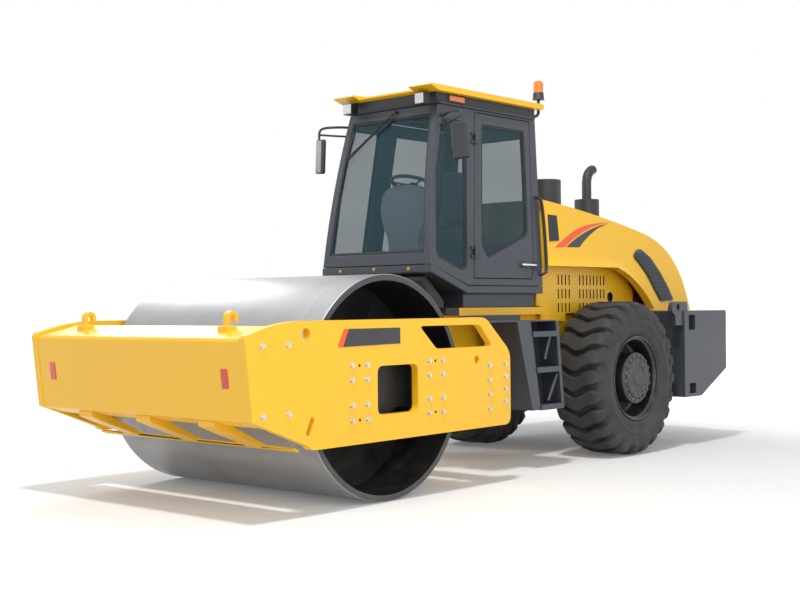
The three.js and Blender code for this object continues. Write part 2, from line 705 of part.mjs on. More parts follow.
function hingePoint(z) {
  const part = (z - door.front[1]) / (door.frontTop[1] - door.front[1]);
  const x = door.front[0] + part * (door.frontTop[0] - door.front[0]);
  return new THREE.Vector3(x, cab.halfWidth - (z - cab.sillTop) * cab.tilt + hinge.out, z);
}

function hingePiece(z, low, high, radius) {
  return strut(hingePoint(z + low), hingePoint(z + high), radius, 10);
}

function hingeLeaf(z, half, x0, x1) {
  const at = hingePoint(z).x;
  return onSide(polygon([[at + x0, z - half], [at + x1, z - half], [at + x1, z + half], [at + x0, z + half]]), -12, 13);
}

function makeCabSide() {
  const wall = onSide(cabOutline(sideLift), 0, cab.wall);
  const opening = onSide(roundedPolygon(grow(doorOutline, doorGap), 20), -20, cab.wall + 40);
  const window = onSide(roundedPolygon(quarterGlass, 30), -20, cab.wall + 40);
  let side = wall.subtract(opening).subtract(window);
  for (const z of hinge.heights) {
    const tip = hinge.half + 26;
    side = side.add(hingePiece(z, -tip, tip, hinge.pin));
    for (const up of [-1, 1]) {
      const near = hinge.half + 1;
      side = side.add(hingePiece(z, up > 0 ? near : -tip, up > 0 ? tip : -near, hinge.outer));
      side = side.add(hingeLeaf(z + up * (near + tip) / 2, (tip - near) / 2 - 1, 4, 50));
    }
  }
  return side;
}
addPair(group, "cab_side", makeCabSide(), darkGrey);
addPair(group, "quarter_window", onSide(roundedPolygon(grow(quarterGlass, -fit), 30), 12, glassThick), glass);

function makeDoor() {
  const panel = onSide(roundedPolygon(doorOutline, 20), 0, cab.wall);
  const window = onSide(roundedPolygon(doorGlass, 28), -20, cab.wall + 40);
  const handle = onSide(roundedPolygon([
    [drumX - 2260, 1700], [drumX - 2385, 1700], [drumX - 2385, 1740], [drumX - 2260, 1740],
  ], 8), -28, 30, 4);
  let solid = panel.subtract(window).add(handle);
  for (const z of hinge.heights) {
    const knuckle = hingePiece(z, -hinge.half, hinge.half, hinge.outer).add(hingeLeaf(z, hinge.half - 6, -60, -4));
    solid = solid.add(knuckle);
  }
  for (const z of hinge.heights) {
    solid = solid.subtract(hingePiece(z, -60, 60, hinge.pin + running));
  }
  return solid;
}
addPair(group, "door", makeDoor(), darkGrey);
addPair(group, "door_window", onSide(roundedPolygon(grow(doorGlass, -fit), 28), 12, glassThick), glass);

const cabShell = sideExtrude(cabOutline(sideLift), -700, 700, 8)
  .subtract(sideExtrude(cabInside(cab.wall), -710, 710, 8))
  .intersect(betweenSides(cab.wall + fit));

function makeCabFront() {
  const zone = box(drumX - 1450, cab.front + 200, -700, 700, cab.floorTop, 3100);
  return cabShell.intersect(zone).subtract(windshieldBlock(0));
}

// What the windshield fills: a tapered block through the front wall.
function windshieldBlock(inset) {
  const points = [];
  const low = 1800 + inset;
  const high = 2940 - inset;
  const halfLow = cab.halfWidth - 67 - inset;
  const halfHigh = cab.halfWidth - 159 - inset;
  for (const x of [drumX - 1600, drumX - 800]) {
    for (const side of [-1, 1]) {
      points.push(new THREE.Vector3(x, side * halfLow, low), new THREE.Vector3(x, side * halfHigh, high));
    }
  }
  return toSolid(new ConvexGeometry(points));
}
add(group, "cab_front", makeCabFront(), darkGrey);

function glassLayer(inset) {
  return sideExtrude(cabInside(inset), -700, 700, 8)
    .subtract(sideExtrude(cabInside(inset + glassThick), -710, 710, 8));
}

function makeWindshield() {
  const pane = glassLayer(12).intersect(windshieldBlock(fit));
  return pane.intersect(box(drumX - 1450, cab.front + 200, -700, 700, cab.sillTop, 3100));
}
add(group, "windshield", makeWindshield(), glass);

const rearGlass = [
  [169 - cab.halfWidth, 1900], [cab.halfWidth - 169, 1900], [cab.halfWidth - 219, 2880], [219 - cab.halfWidth, 2880],
];

function acrossX(points, radius, x0, x1) {
  const geometry = new THREE.ExtrudeGeometry(roundedPolygon(points, radius), { depth: x1 - x0, bevelEnabled: false, curveSegments: 4 });
  geometry.rotateX(Math.PI / 2);
  geometry.rotateZ(Math.PI / 2);
  geometry.translate(x0, 0, 0);
  return toSolid(geometry);
}

function makeCabRear() {
  const zone = box(cab.rearTop - 100, cab.rear + 120, -700, 700, cab.floorTop, 3100);
  return cabShell.intersect(zone).subtract(acrossX(rearGlass, 60, cab.rearTop - 200, cab.rear + 300));
}
add(group, "cab_rear", makeCabRear(), darkGrey);

function makeRearWindow() {
  const block = acrossX(grow(rearGlass, -fit), 60, cab.rearTop - 200, cab.rear + 300);
  return glassLayer(15).intersect(block);
}
add(group, "rear_window", makeRearWindow(), glass);

// The cab's tray: level under the driver, sloping up to the sill in front.
function makeTray(half) {
  return sideExtrude(polygon([
    [cab.front, cab.sillTop], [cab.front, cab.sillTop - 62], [drumX - 1502, cab.floorBottom],
    [cab.rear - 6, cab.floorBottom], [cab.rear - 6, cab.floorTop], [cab.kneeX, cab.floorTop],
  ]), -half, half);
}

function makeCabFloor() {
  const tray = makeTray(cab.halfWidth + 12);
  const skirt = box(drumX - 2505, drumX - 1510, -cab.halfWidth + 40, cab.halfWidth - 40,
    cab.skirtBottom, cab.floorBottom + 5);
  return tray.add(skirt);
}
add(group, "cab_floor", makeCabFloor(), darkGrey);

function makeCeiling() {
  const half = cab.halfWidth - (cab.sideTop - cab.sillTop) * cab.tilt;
  const bottom = cab.sideTop - sideLift + fit;
  return sideExtrude(roundedPolygon([
    [cab.rearTop, bottom], [drumX - 1315, bottom], [drumX - 1268, cab.roofBottom - fit],
    [cab.rearTop, cab.roofBottom - fit],
  ], 10), -half, half, 4);
}
add(group, "cab_ceiling", makeCeiling(), darkGrey);

function makeRoof() {
  const half = 548;
  const front = drumX - 1134;
  const rear = drumX - 2698;
  const slab = sideExtrude(roundedPolygon([
    [rear, cab.roofBottom], [front - 110, cab.roofBottom], [front, cab.roofTop - 12], [front - 12, cab.roofTop],
    [rear, cab.roofTop],
  ], [8, 8, 4, 4, 20]), -half, half, 4);
  const dip = box(front - 160, front + 50, -308, 308, cab.roofTop - 34, cab.roofTop + 10);
  return slab.subtract(dip);
}
add(group, "cab_roof", makeRoof(), yellow);

// ---- cab interior -------------------------------------------------------------------------
function makeSeat() {
  const x = drumX - 2050;
  const base = box(x - 200, x + 200, -200, 200, cab.floorTop + fit, 1900);
  const cushion = box(x - 260, x + 250, -250, 250, 1895, 2030);
  const back = sideExtrude(roundedPolygon([
    [x - 260, 1930], [x - 130, 1930], [x - 230, 2620], [x - 330, 2620],
  ], 30), -230, 230, 4);
  return union(base, cushion, back);
}
add(group, "seat", makeSeat(), trim);

const columnTop = new THREE.Vector3(drumX - 1540, 0, 2385);
const columnAxis = new THREE.Vector3(-0.35, 0, 1).normalize();

function makeConsole() {
  // A broad rounded pod on a narrower leg, with the steering column coming out of its back.
  const front = drumX - 1400;
  const back = drumX - 1492;
  const outline = [
    [163, cab.floorTop], [163, 1940], [235, 2080], [255, 2210], [215, 2350], [90, 2396],
  ];
  const across = [...outline, ...outline.map(([y, z]) => [-y, z]).reverse()];
  const pod = acrossX(across, [0, 80, 60, 60, 60, 60, 60, 60, 60, 60, 80, 0], back, front);
  const root = columnTop.clone().addScaledVector(columnAxis, -180);
  return pod.subtract(makeTray(300).translate([0, 0, fit])).add(strut(root, columnTop, 26));
}
add(group, "console", makeConsole(), trim);

function makeSteeringWheel() {
  const grip = 16;
  const ring = turned(Array.from({ length: 7 }, (_, i) => {
    const t = i * Math.PI / 3;
    return [190 + grip * Math.cos(t), 20 + grip * Math.sin(t)];
  }), 24);
  const boss = rod("y", 40, 40, 0, 20 + fit, 0, 20);
  const spokes = [0, 1, 2].map((i) => {
    const spoke = new THREE.BoxGeometry(175, 12, 26).translate(100, 20, 0).rotateY(i * Math.PI * 2 / 3);
    return toSolid(spoke);
  });
  return union(ring, boss, ...spokes);
}
add(group, "steering_wheel", makeSteeringWheel(), trim, columnTop.toArray())
  .quaternion.setFromUnitVectors(new THREE.Vector3(0, 1, 0), columnAxis);

// ---- hood ---------------------------------------------------------------------------------
function hoodProfile(a) {
  const shape = new THREE.Shape();
  const flank = hood.flankBottom;
  const archX = axleX - Math.sqrt(hood.archRadius ** 2 - (flank - tireRadius) ** 2);
  const footX = axleX - Math.sqrt(hood.archRadius ** 2 - (hood.bottom - tireRadius) ** 2);
  shape.moveTo(hood.front - a, flank);
  shape.lineTo(hood.front - a, hood.topFront - a);
  shape.bezierCurveTo(
    axleX + 130, 2245 - a, axleX - 570, 2125 - a, axleX - 900, 2048 - a);
  shape.bezierCurveTo(
    axleX - 1290 + a / 2, 1955 - a, axleX - 1530 + a, 1720, hood.rear + a, hood.bottom);
  if (a === 0) {
    shape.lineTo(footX, hood.bottom);
    const start = Math.atan2(hood.bottom - tireRadius, footX - axleX);
    const end = Math.atan2(flank - tireRadius, archX - axleX);
    shape.absarc(axleX, tireRadius, hood.archRadius, start, end, true);
  } else {
    shape.lineTo(footX - 400, hood.bottom - 200);
    shape.lineTo(hood.front - a, hood.bottom - 200);
  }
  shape.closePath();
  return shape;
}

function hoodBlock(inset) {
  const points = [];
  for (const x of [flankNear, flankFar]) {
    for (const side of [-1, 1]) {
      for (const z of [1100, 2500]) points.push(new THREE.Vector3(x, side * (flankY(x, z) - inset), z));
    }
  }
  return toSolid(new ConvexGeometry(points));
}

// The wheel arch's lip flares out of the flank: a wedge at each station, joined one to the next.
function makeArchLip() {
  const root = 20;
  const wedge = (crease, edge, flare) => [
    new THREE.Vector3(crease[0], flankY(...crease) - root / 4, crease[1]),
    new THREE.Vector3(edge[0], flankY(...edge) + flare, edge[1]),
    new THREE.Vector3(edge[0], flankY(...edge) - root, edge[1]),
  ];
  const onArch = (radius, angle) => [axleX - radius * Math.cos(angle), tireRadius + radius * Math.sin(angle)];
  const facet = 120;
  const stations = [
    wedge([hood.front, hood.lipTop], [hood.front, hood.flankBottom], root / 4),
    wedge([hood.front - facet, hood.lipTop], [hood.front - facet, hood.flankBottom], hood.lipFlare),
    wedge([axleX, hood.lipTop + 5], [axleX, hood.flankBottom], hood.lipFlare),
  ];
  const first = Math.asin((hood.flankBottom - tireRadius) / hood.archRadius);
  const last = Math.asin((hood.lipBottom - tireRadius) / hood.archRadius);
  const steps = 6;
  for (let i = 0; i <= steps; i += 1) {
    const angle = first + ((last - first) * i) / steps;
    stations.push(wedge(onArch(hood.lipRadius, angle), onArch(hood.archRadius, angle), hood.lipFlare));
  }
  const pieces = stations.slice(1).map((station, i) => toSolid(new ConvexGeometry([...stations[i], ...station])));
  return union(...pieces);
}

const stack = { x: axleX - 778, radius: 124 };
const cleaner = { x: axleX - 40, radius: 160 };

function makeHood() {
  const outer = sideExtrude(hoodProfile(0), -900, 900, 16).intersect(hoodBlock(0));
  const inner = sideExtrude(hoodProfile(hood.shell), -910, 910, 16).intersect(hoodBlock(hood.shell));
  const lip = makeArchLip();
  return union(outer.subtract(inner), lip, mirrored(lip));
}
add(group, "hood", makeHood(), yellow);

function makeStack() {
  const muffler = rod("z", stack.radius, 360, stack.x, 0, 2250, 28);
  const pipe = bar([
    [stack.x, 0, 2400], [stack.x, 0, 2560], [stack.x - 5, 0, 2640], [stack.x - 45, 0, 2710], [stack.x - 120, 0, 2745],
  ], 48, 16, 8);
  const hoodBlank = sideExtrude(hoodProfile(0), -900, 900, 16).translate([0, 0, fit]);
  return muffler.add(pipe).subtract(hoodBlank);
}
add(group, "exhaust_stack", makeStack(), black);

function makeCleaner() {
  const can = rod("z", cleaner.radius, 420, cleaner.x, 0, 2365, 28);
  const hoodBlank = sideExtrude(hoodProfile(0), -900, 900, 16).translate([0, 0, fit]);
  return can.subtract(hoodBlank);
}
add(group, "air_cleaner", makeCleaner(), black);

// Grilles lie on the hood's flanks.
function flankPatch(points, radius, thick) {
  const outer = hoodBlock(-thick - fit).subtract(hoodBlock(-fit));
  return sideExtrude(roundedPolygon(points, radius), 300, 900, 8).intersect(outer);
}
addPair(group, "side_grille", flankPatch([
  [axleX - 609, 1834], [axleX - 687, 1902], [axleX - 755, 1909], [axleX - 926, 1829], [axleX - 1090, 1683],
  [axleX - 1218, 1535], [axleX - 1294, 1409], [axleX - 1044, 1393], [axleX - 945, 1509], [axleX - 830, 1655],
  [axleX - 690, 1775],
], 30, 8), darkGrey);

function makeSidePanel() {
  const top = 1742;
  const sillZ = 1295 + fit;
  const outline = polygon([
    [axleX + 740, 1225], [axleX + 740, cab.skirtBottom + 8], [hood.front - 8, cab.skirtBottom + 8],
    [hood.front - 8, hood.flankBottom - 5], [hood.front - 55, hood.flankBottom - 5], [hood.front - 55, top],
    [axleX - 420, top], [axleX - 660, 1640], [axleX - 815, 1500],
    [axleX - 815, sillZ], [axleX + 360, sillZ], [axleX + 360, 1225],
  ]);
  const panel = sideExtrude(outline, 480, 500);
  const bracket = box(axleX + 500, axleX + 680, chassis.outside + fit, 490, 1232, 1272);
  return panel.add(bracket);
}
addPair(group, "side_panel", makeSidePanel(), yellow);

// ---- lamps, mirrors, rails ----------------------------------------------------------------
function makeWorkLamp() {
  const x = drumX - 1199;
  const shell = box(x - 40, x + 40, 355, 455, 3006, 3100);
  const riser = box(x - 64, x - 50, 375, 415, 3060, cab.roofBottom - fit);
  const bracket = box(x - 64, x - 30, 375, 415, 3060, 3085).add(riser);
  return shell.add(bracket);
}
addPair(group, "work_lamp", makeWorkLamp(), black);

function makeBeacon() {
  const x = cab.rearTop - 90;
  const y = 470;
  const post = bar([
    [cab.rearTop - fit, y, 3060], [cab.rearTop - 50, y, 3060], [x - 5, y, 3090], [x, y, 3150], [x, y, 3225],
  ], 14, 8, 12);
  return post.add(rod("z", 48, 160, x, y, 3300, 28));
}
add(group, "beacon", makeBeacon(), amber);

function cabSideY(z) {
  return cab.halfWidth - (z - cab.sillTop) * cab.tilt;
}

const mirror = { x: drumX - 1215, y: 785, z: 2684, thick: 45, wide: 140, tall: 300, turn: 20, lean: 5 };

function makeMirror() {
  const m = mirror;
  const head = new THREE.BoxGeometry(m.thick, m.wide, m.tall)
    .rotateX(THREE.MathUtils.degToRad(m.lean))
    .rotateZ(THREE.MathUtils.degToRad(m.turn))
    .translate(m.x, m.y, m.z);
  const root = m.x - 115;
  const upper = bar([
    [root, cabSideY(2926) - 15, 2926], [root, cabSideY(2926) + 40, 2926], [m.x - 50, 620, 2930], [m.x, 740, 2928],
    [m.x, 800, 2895], [m.x, 800, 2820],
  ], 11, 8, 12);
  const lower = bar([
    [root, cabSideY(2848) - 15, 2848], [root, cabSideY(2848) + 40, 2848], [m.x - 45, 640, 2856], [m.x, 795, 2876],
  ], 9, 8, 8);
  return union(toSolid(head), upper, lower).subtract(betweenSides(-fit));
}
addPair(group, "mirror", makeMirror(), black);

function makeGrabRail() {
  const out = (z) => cabSideY(z) + 36;
  const x = cab.rear;
  const rail = bar([
    [x + 5, cabSideY(2320) - 10, 2320], [x + 3, cabSideY(2320) + 14, 2320], [x - 12, out(2320), 2312],
    [x - 32, out(2250), 2250], [x - 28, out(1720), 1720],
    [x - 5, out(1650), 1652], [x + 27, cabSideY(1640) + 14, 1640], [x + 29, cabSideY(1640) - 10, 1640],
  ], 15, 8, 22);
  return rail.subtract(betweenSides(-fit));
}
addPair(group, "grab_rail", makeGrabRail(), black);

// A point "out" from the cab's curved front at height z.
function onFront(y, z, out) {
  const angle = Math.asin((z - arcCentre.y) / frontRadius);
  const reach = frontRadius + out;
  return new THREE.Vector3(arcCentre.x + reach * Math.cos(angle), y, arcCentre.y + reach * Math.sin(angle));
}

function makeWiper() {
  const pivot = { y: 55, z: 2985 };
  const tip = { y: -430, z: 2625 };
  const spindle = strut(onFront(pivot.y, pivot.z, fit), onFront(pivot.y, pivot.z, 26), 12, 12);
  const arm = strut(onFront(pivot.y, pivot.z, 20), onFront(tip.y, tip.z, 16), 7, 8);
  const low = strut(onFront(tip.y, tip.z, 13), onFront(tip.y - 32, tip.z - 270, 13), 6, 8);
  const high = strut(onFront(tip.y, tip.z, 13), onFront(tip.y + 32, tip.z + 240, 13), 6, 8);
  return union(spindle, arm, low, high);
}
add(group, "front_wiper", makeWiper(), black);

// ---- wheels -------------------------------------------------------------------------------
function makeTire() {
  const half = tireWidth / 2;
  return turned([
    [rimRadius + fit, -half + 60], [rimRadius + 60, -half + 15], [540, -half], [620, -half + 20],
    [tireRadius - 20, -half + 70], [tireRadius, -half + 130], [tireRadius, half - 130],
    [tireRadius - 20, half - 70], [620, half - 20], [540, half], [rimRadius + 60, half - 15],
    [rimRadius + fit, half - 60], [rimRadius + fit, -half + 60],
  ], 36);
}

function makeRim() {
  const half = tireWidth / 2;
  const face = 1041 - (tireOutside + tireInside) / 2;
  const barrel = rimRadius - 40;
  return turned([
    [hubBore, 5 - half], [140, 5 - half], [140, -10], [barrel, -10], [barrel, 40 - half], [rimRadius, 40 - half],
    [rimRadius, half - 40], [barrel, half - 40], [barrel, 20], [229, 20], [229, face], [0, face],
    [0, 180 - half], [hubBore, 180 - half], [hubBore, 5 - half],
  ], 36);
}
for (const [name, side] of [["left", 1], ["right", -1]]) {
  const wheel = new THREE.Group();
  wheel.position.set(axleX, side * (tireOutside + tireInside) / 2, tireRadius);
  group.add(wheel);
  add(wheel, `${name}_tire`, makeTire(), rubber);
  const rim = side > 0 ? makeRim() : mirrored(makeRim());
  add(wheel, `${name}_rim`, rim, darkGrey);
}

export default group;
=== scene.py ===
import json
import math
import bpy
import bmesh
from mathutils import Matrix, Vector
from mathutils.bvhtree import BVHTree


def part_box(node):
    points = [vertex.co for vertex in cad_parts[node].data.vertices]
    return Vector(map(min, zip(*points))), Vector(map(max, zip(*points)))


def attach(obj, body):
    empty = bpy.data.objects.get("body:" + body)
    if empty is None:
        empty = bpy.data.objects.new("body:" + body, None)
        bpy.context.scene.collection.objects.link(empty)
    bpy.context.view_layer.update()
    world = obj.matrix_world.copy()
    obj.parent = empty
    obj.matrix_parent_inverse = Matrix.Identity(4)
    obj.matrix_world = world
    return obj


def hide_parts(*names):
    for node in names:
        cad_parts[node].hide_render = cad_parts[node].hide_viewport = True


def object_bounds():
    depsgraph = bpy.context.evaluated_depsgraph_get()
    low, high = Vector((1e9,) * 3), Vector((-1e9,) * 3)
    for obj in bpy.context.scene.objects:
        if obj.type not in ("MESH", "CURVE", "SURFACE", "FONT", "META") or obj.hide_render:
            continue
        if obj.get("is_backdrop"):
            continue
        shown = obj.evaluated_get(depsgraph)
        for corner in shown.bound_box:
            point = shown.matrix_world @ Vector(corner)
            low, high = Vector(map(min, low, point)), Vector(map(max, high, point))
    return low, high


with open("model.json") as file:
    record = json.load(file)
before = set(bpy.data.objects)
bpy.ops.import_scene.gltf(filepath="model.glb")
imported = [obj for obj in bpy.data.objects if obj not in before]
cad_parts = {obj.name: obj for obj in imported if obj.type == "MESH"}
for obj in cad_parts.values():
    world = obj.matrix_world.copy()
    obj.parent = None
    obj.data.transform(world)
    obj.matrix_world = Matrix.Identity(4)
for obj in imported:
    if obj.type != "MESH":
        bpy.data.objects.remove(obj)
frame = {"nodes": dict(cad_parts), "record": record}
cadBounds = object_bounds()
nodes = frame["nodes"]
collection = bpy.context.scene.collection

# places that many pieces share, read from the frame (metres)
drumLo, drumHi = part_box("drum")
drumAxle = Vector(((drumLo[0] + drumHi[0]) / 2, 0, (drumLo[2] + drumHi[2]) / 2))
print("frame loaded:", len(nodes), "nodes")


def addNode(tree, kind, **values):
    node = tree.nodes.new(kind)
    for key, value in values.items():
        setattr(node, key, value)
    return node


def wire(tree, source, out, target, into):
    tree.links.new(source.outputs[out], target.inputs[into])


def setInputs(node, values):
    for label, value in values.items():
        node.inputs[label].default_value = value
    return node


def newGroup(name, inputs, outputs):
    group = bpy.data.node_groups.new(name, "ShaderNodeTree")
    for label, kind, value in inputs:
        socket = group.interface.new_socket(name=label, in_out="INPUT", socket_type=kind)
        socket.default_value = value
    for label, kind in outputs:
        group.interface.new_socket(name=label, in_out="OUTPUT", socket_type=kind)
    start = addNode(group, "NodeGroupInput")
    end = addNode(group, "NodeGroupOutput")
    return group, start, end


def math2(tree, operation, a, b):
    node = addNode(tree, "ShaderNodeMath", operation=operation)
    for index, value in enumerate((a, b)):
        if isinstance(value, (int, float)):
            node.inputs[index].default_value = value
        else:
            tree.links.new(value, node.inputs[index])
    return node.outputs[0]


def ramp(tree, value, low, high):
    node = addNode(tree, "ShaderNodeMapRange")
    tree.links.new(value, node.inputs["Value"])
    setInputs(node, {"From Min": low, "From Max": high})
    return node.outputs["Result"]


def objectNoise(tree, scale, detail):
    # noise fixed to the piece, its scale a number or a socket
    place = addNode(tree, "ShaderNodeTexCoord")
    noise = setInputs(addNode(tree, "ShaderNodeTexNoise"), {"Detail": detail})
    wire(tree, place, "Object", noise, "Vector")
    if isinstance(scale, (int, float)):
        noise.inputs["Scale"].default_value = scale
    else:
        tree.links.new(scale, noise.inputs["Scale"])
    return noise.outputs["Fac"]


def mixColors(tree, factor, first, second):
    mix = addNode(tree, "ShaderNodeMix", data_type="RGBA")
    tree.links.new(factor, mix.inputs["Factor"])
    for index, color in ((6, first), (7, second)):
        if isinstance(color, tuple):
            mix.inputs[index].default_value = color
        else:
            tree.links.new(color, mix.inputs[index])
    return mix.outputs[2]


def addRelief(tree, shader, height, strength, distance=0.001):
    relief = setInputs(addNode(tree, "ShaderNodeBump"), {"Strength": strength, "Distance": distance})
    tree.links.new(height, relief.inputs["Height"])
    wire(tree, relief, "Normal", shader, "Normal")


def buildMottle():
    # slow colour drift and a fine skin of noise, for paint and plastic
    group, start, end = newGroup(
        "mottle",
        [("Color", "NodeSocketColor", (1, 1, 1, 1)), ("Scale", "NodeSocketFloat", 3.0),
         ("Drift", "NodeSocketFloat", 0.06), ("Roughness", "NodeSocketFloat", 0.4)],
        [("Color", "NodeSocketColor"), ("Roughness", "NodeSocketFloat"), ("Height", "NodeSocketFloat")])
    slow = objectNoise(group, start.outputs["Scale"], 5)
    fine = objectNoise(group, 320, 3)
    swing = math2(group, "MULTIPLY", math2(group, "SUBTRACT", slow, 0.5), start.outputs["Drift"])
    gain = math2(group, "ADD", swing, 1.0)
    tint = addNode(group, "ShaderNodeVectorMath", operation="SCALE")
    wire(group, start, "Color", tint, 0)
    group.links.new(gain, tint.inputs["Scale"])
    wire(group, tint, 0, end, "Color")
    rough = math2(group, "ADD", math2(group, "MULTIPLY", swing, 1.5), start.outputs["Roughness"])
    group.links.new(rough, end.inputs["Roughness"])
    group.links.new(fine, end.inputs["Height"])
    return group


def buildDust():
    # pale dust that gathers low on the machine and in patches
    group, start, end = newGroup(
        "dust",
        [("Color", "NodeSocketColor", (1, 1, 1, 1)), ("Dust", "NodeSocketColor", (0.36, 0.31, 0.24, 1)),
         ("Amount", "NodeSocketFloat", 0.25), ("Top", "NodeSocketFloat", 0.9)],
        [("Color", "NodeSocketColor"), ("Mask", "NodeSocketFloat")])
    place = addNode(group, "ShaderNodeTexCoord")
    split = addNode(group, "ShaderNodeSeparateXYZ")
    wire(group, place, "Object", split, 0)
    patch = objectNoise(group, 7, 8)
    height = math2(group, "DIVIDE", split.outputs["Z"], start.outputs["Top"])
    low = math2(group, "SUBTRACT", 1.0, height)
    clampLow = addNode(group, "ShaderNodeClamp")
    group.links.new(low, clampLow.inputs[0])
    mask = math2(group, "MULTIPLY", clampLow.outputs[0], ramp(group, patch, 0.35, 0.7))
    mask = math2(group, "MULTIPLY", mask, start.outputs["Amount"])
    dusted = mixColors(group, mask, start.outputs["Color"], start.outputs["Dust"])
    group.links.new(dusted, end.inputs["Color"])
    group.links.new(mask, end.inputs["Mask"])
    return group


def buildEdgeWearAndHighlight():
    # partly worn paint, partly painted highlight: a bright line along sharp edges, in patches, from the angle
    # between a rounded normal and the true one
    group, start, end = newGroup(
        "edgeWearAndHighlight",
        [("Radius", "NodeSocketFloat", 0.004), ("Amount", "NodeSocketFloat", 0.5)],
        [("Mask", "NodeSocketFloat")])
    patch = objectNoise(group, 38, 6)
    bevel = addNode(group, "ShaderNodeBevel", samples=4)
    wire(group, start, "Radius", bevel, "Radius")
    geometry = addNode(group, "ShaderNodeNewGeometry")
    dot = addNode(group, "ShaderNodeVectorMath", operation="DOT_PRODUCT")
    wire(group, bevel, 0, dot, 0)
    wire(group, geometry, "Normal", dot, 1)
    edge = ramp(group, math2(group, "SUBTRACT", 1.0, dot.outputs["Value"]), 0.02, 0.2)
    mask = math2(group, "MULTIPLY", edge, ramp(group, patch, 0.48, 0.62))
    group.links.new(math2(group, "MULTIPLY", mask, start.outputs["Amount"]), end.inputs["Mask"])
    return group


mottle = buildMottle()
dust = buildDust()
edgeWearAndHighlight = buildEdgeWearAndHighlight()


def newMaterial(name):
    material = bpy.data.materials.new(name)
    material.use_nodes = True
    tree = material.node_tree
    return material, tree, tree.nodes["Principled BSDF"]


def finishMaterial(name, color, roughness, metallic=0.0, drift=0.08, driftScale=2.5, bump=0.02,
                   dustAmount=0.2, dustTop=0.9, wearAndHighlight=0.0, wearHighlightColor=(0.45, 0.45, 0.46, 1), coat=0.0):
    material, tree, shader = newMaterial(name)
    skin = setInputs(addNode(tree, "ShaderNodeGroup", node_tree=mottle),
                     {"Color": (*color, 1), "Scale": driftScale, "Drift": drift, "Roughness": roughness})
    dirt = setInputs(addNode(tree, "ShaderNodeGroup", node_tree=dust), {"Amount": dustAmount, "Top": dustTop})
    wire(tree, skin, "Color", dirt, "Color")
    colorOut = dirt.outputs["Color"]
    # lighter edges in patches: partly wear, partly painted highlight
    if wearAndHighlight > 0:
        rubAndHighlight = setInputs(addNode(tree, "ShaderNodeGroup", node_tree=edgeWearAndHighlight), {"Amount": wearAndHighlight})
        colorOut = mixColors(tree, rubAndHighlight.outputs["Mask"], colorOut, wearHighlightColor)
    tree.links.new(colorOut, shader.inputs["Base Color"])
    rough = math2(tree, "ADD", skin.outputs["Roughness"], math2(tree, "MULTIPLY", dirt.outputs["Mask"], 0.5))
    tree.links.new(rough, shader.inputs["Roughness"])
    setInputs(shader, {"Metallic": metallic, "Coat Weight": coat, "Coat Roughness": 0.08})
    addRelief(tree, shader, skin.outputs["Height"], bump)
    return material


paintLook = {"yellow": (1.0, 0.56, 0.016), "darkGrey": (0.042, 0.049, 0.064), "black": (0.012, 0.012, 0.014)}
# the lighter edge colours given below are partly worn paint, partly painted highlight
yellowPaint = finishMaterial("yellowPaint", paintLook["yellow"], 0.38, dustAmount=0.08, wearAndHighlight=0.1,
                             wearHighlightColor=(1.0, 0.72, 0.25, 1), coat=0.1)
darkPaint = finishMaterial("darkGreyPaint", paintLook["darkGrey"], 0.42, dustAmount=0.15, wearAndHighlight=0.35,
                           wearHighlightColor=(0.2, 0.21, 0.25, 1), coat=0.1)
blackPaint = finishMaterial("blackPaint", paintLook["black"], 0.45, dustAmount=0.15, wearAndHighlight=0.3,
                            wearHighlightColor=(0.12, 0.12, 0.12, 1))
castBlack = finishMaterial("castBlack", (0.026, 0.028, 0.033), 0.5, bump=0.1, dustAmount=0.2, wearAndHighlight=0.2,
                           wearHighlightColor=(0.13, 0.13, 0.13, 1))
zincPlate = finishMaterial("zincPlate", (0.62, 0.61, 0.58), 0.3, metallic=1.0, drift=0.3, driftScale=60)
chromeRod = finishMaterial("chromeRod", (0.8, 0.8, 0.82), 0.12, metallic=1.0, drift=0.05, dustAmount=0.05)
cabPlastic = finishMaterial("cabPlastic", (0.03, 0.031, 0.034), 0.55, bump=0.12, dustAmount=0.0)
greyTrim = finishMaterial("greyTrim", (0.34, 0.40, 0.43), 0.5, bump=0.12, dustAmount=0.0)
rimPaint = finishMaterial("rimPaint", (0.011, 0.012, 0.014), 0.28, dustAmount=0.12, dustTop=1.5, coat=0.3)
hubPaint = finishMaterial("hubPaint", (0.035, 0.037, 0.041), 0.5, bump=0.2, dustAmount=0.3, dustTop=1.5)
boltPaint = finishMaterial("boltPaint", (0.09, 0.092, 0.1), 0.4, dustAmount=0.3, dustTop=1.5)
drumEdge = finishMaterial("drumEdge", (0.05, 0.053, 0.062), 0.4, dustAmount=0.2, dustTop=1.5, wearAndHighlight=0.5,
                          wearHighlightColor=(0.3, 0.31, 0.33, 1))
brassBolt = finishMaterial("brassBolt", (0.62, 0.44, 0.16), 0.35, metallic=0.9, drift=0.3, driftScale=60)
sealRubber = finishMaterial("sealRubber", (0.012, 0.012, 0.013), 0.6, bump=0.05, dustAmount=0.0)
orangeMark = finishMaterial("orangeMark", (0.95, 0.1, 0.02), 0.35, dustAmount=0.0, coat=0.2)
darkMark = finishMaterial("darkMark", (0.022, 0.022, 0.026), 0.35, dustAmount=0.0, coat=0.2)


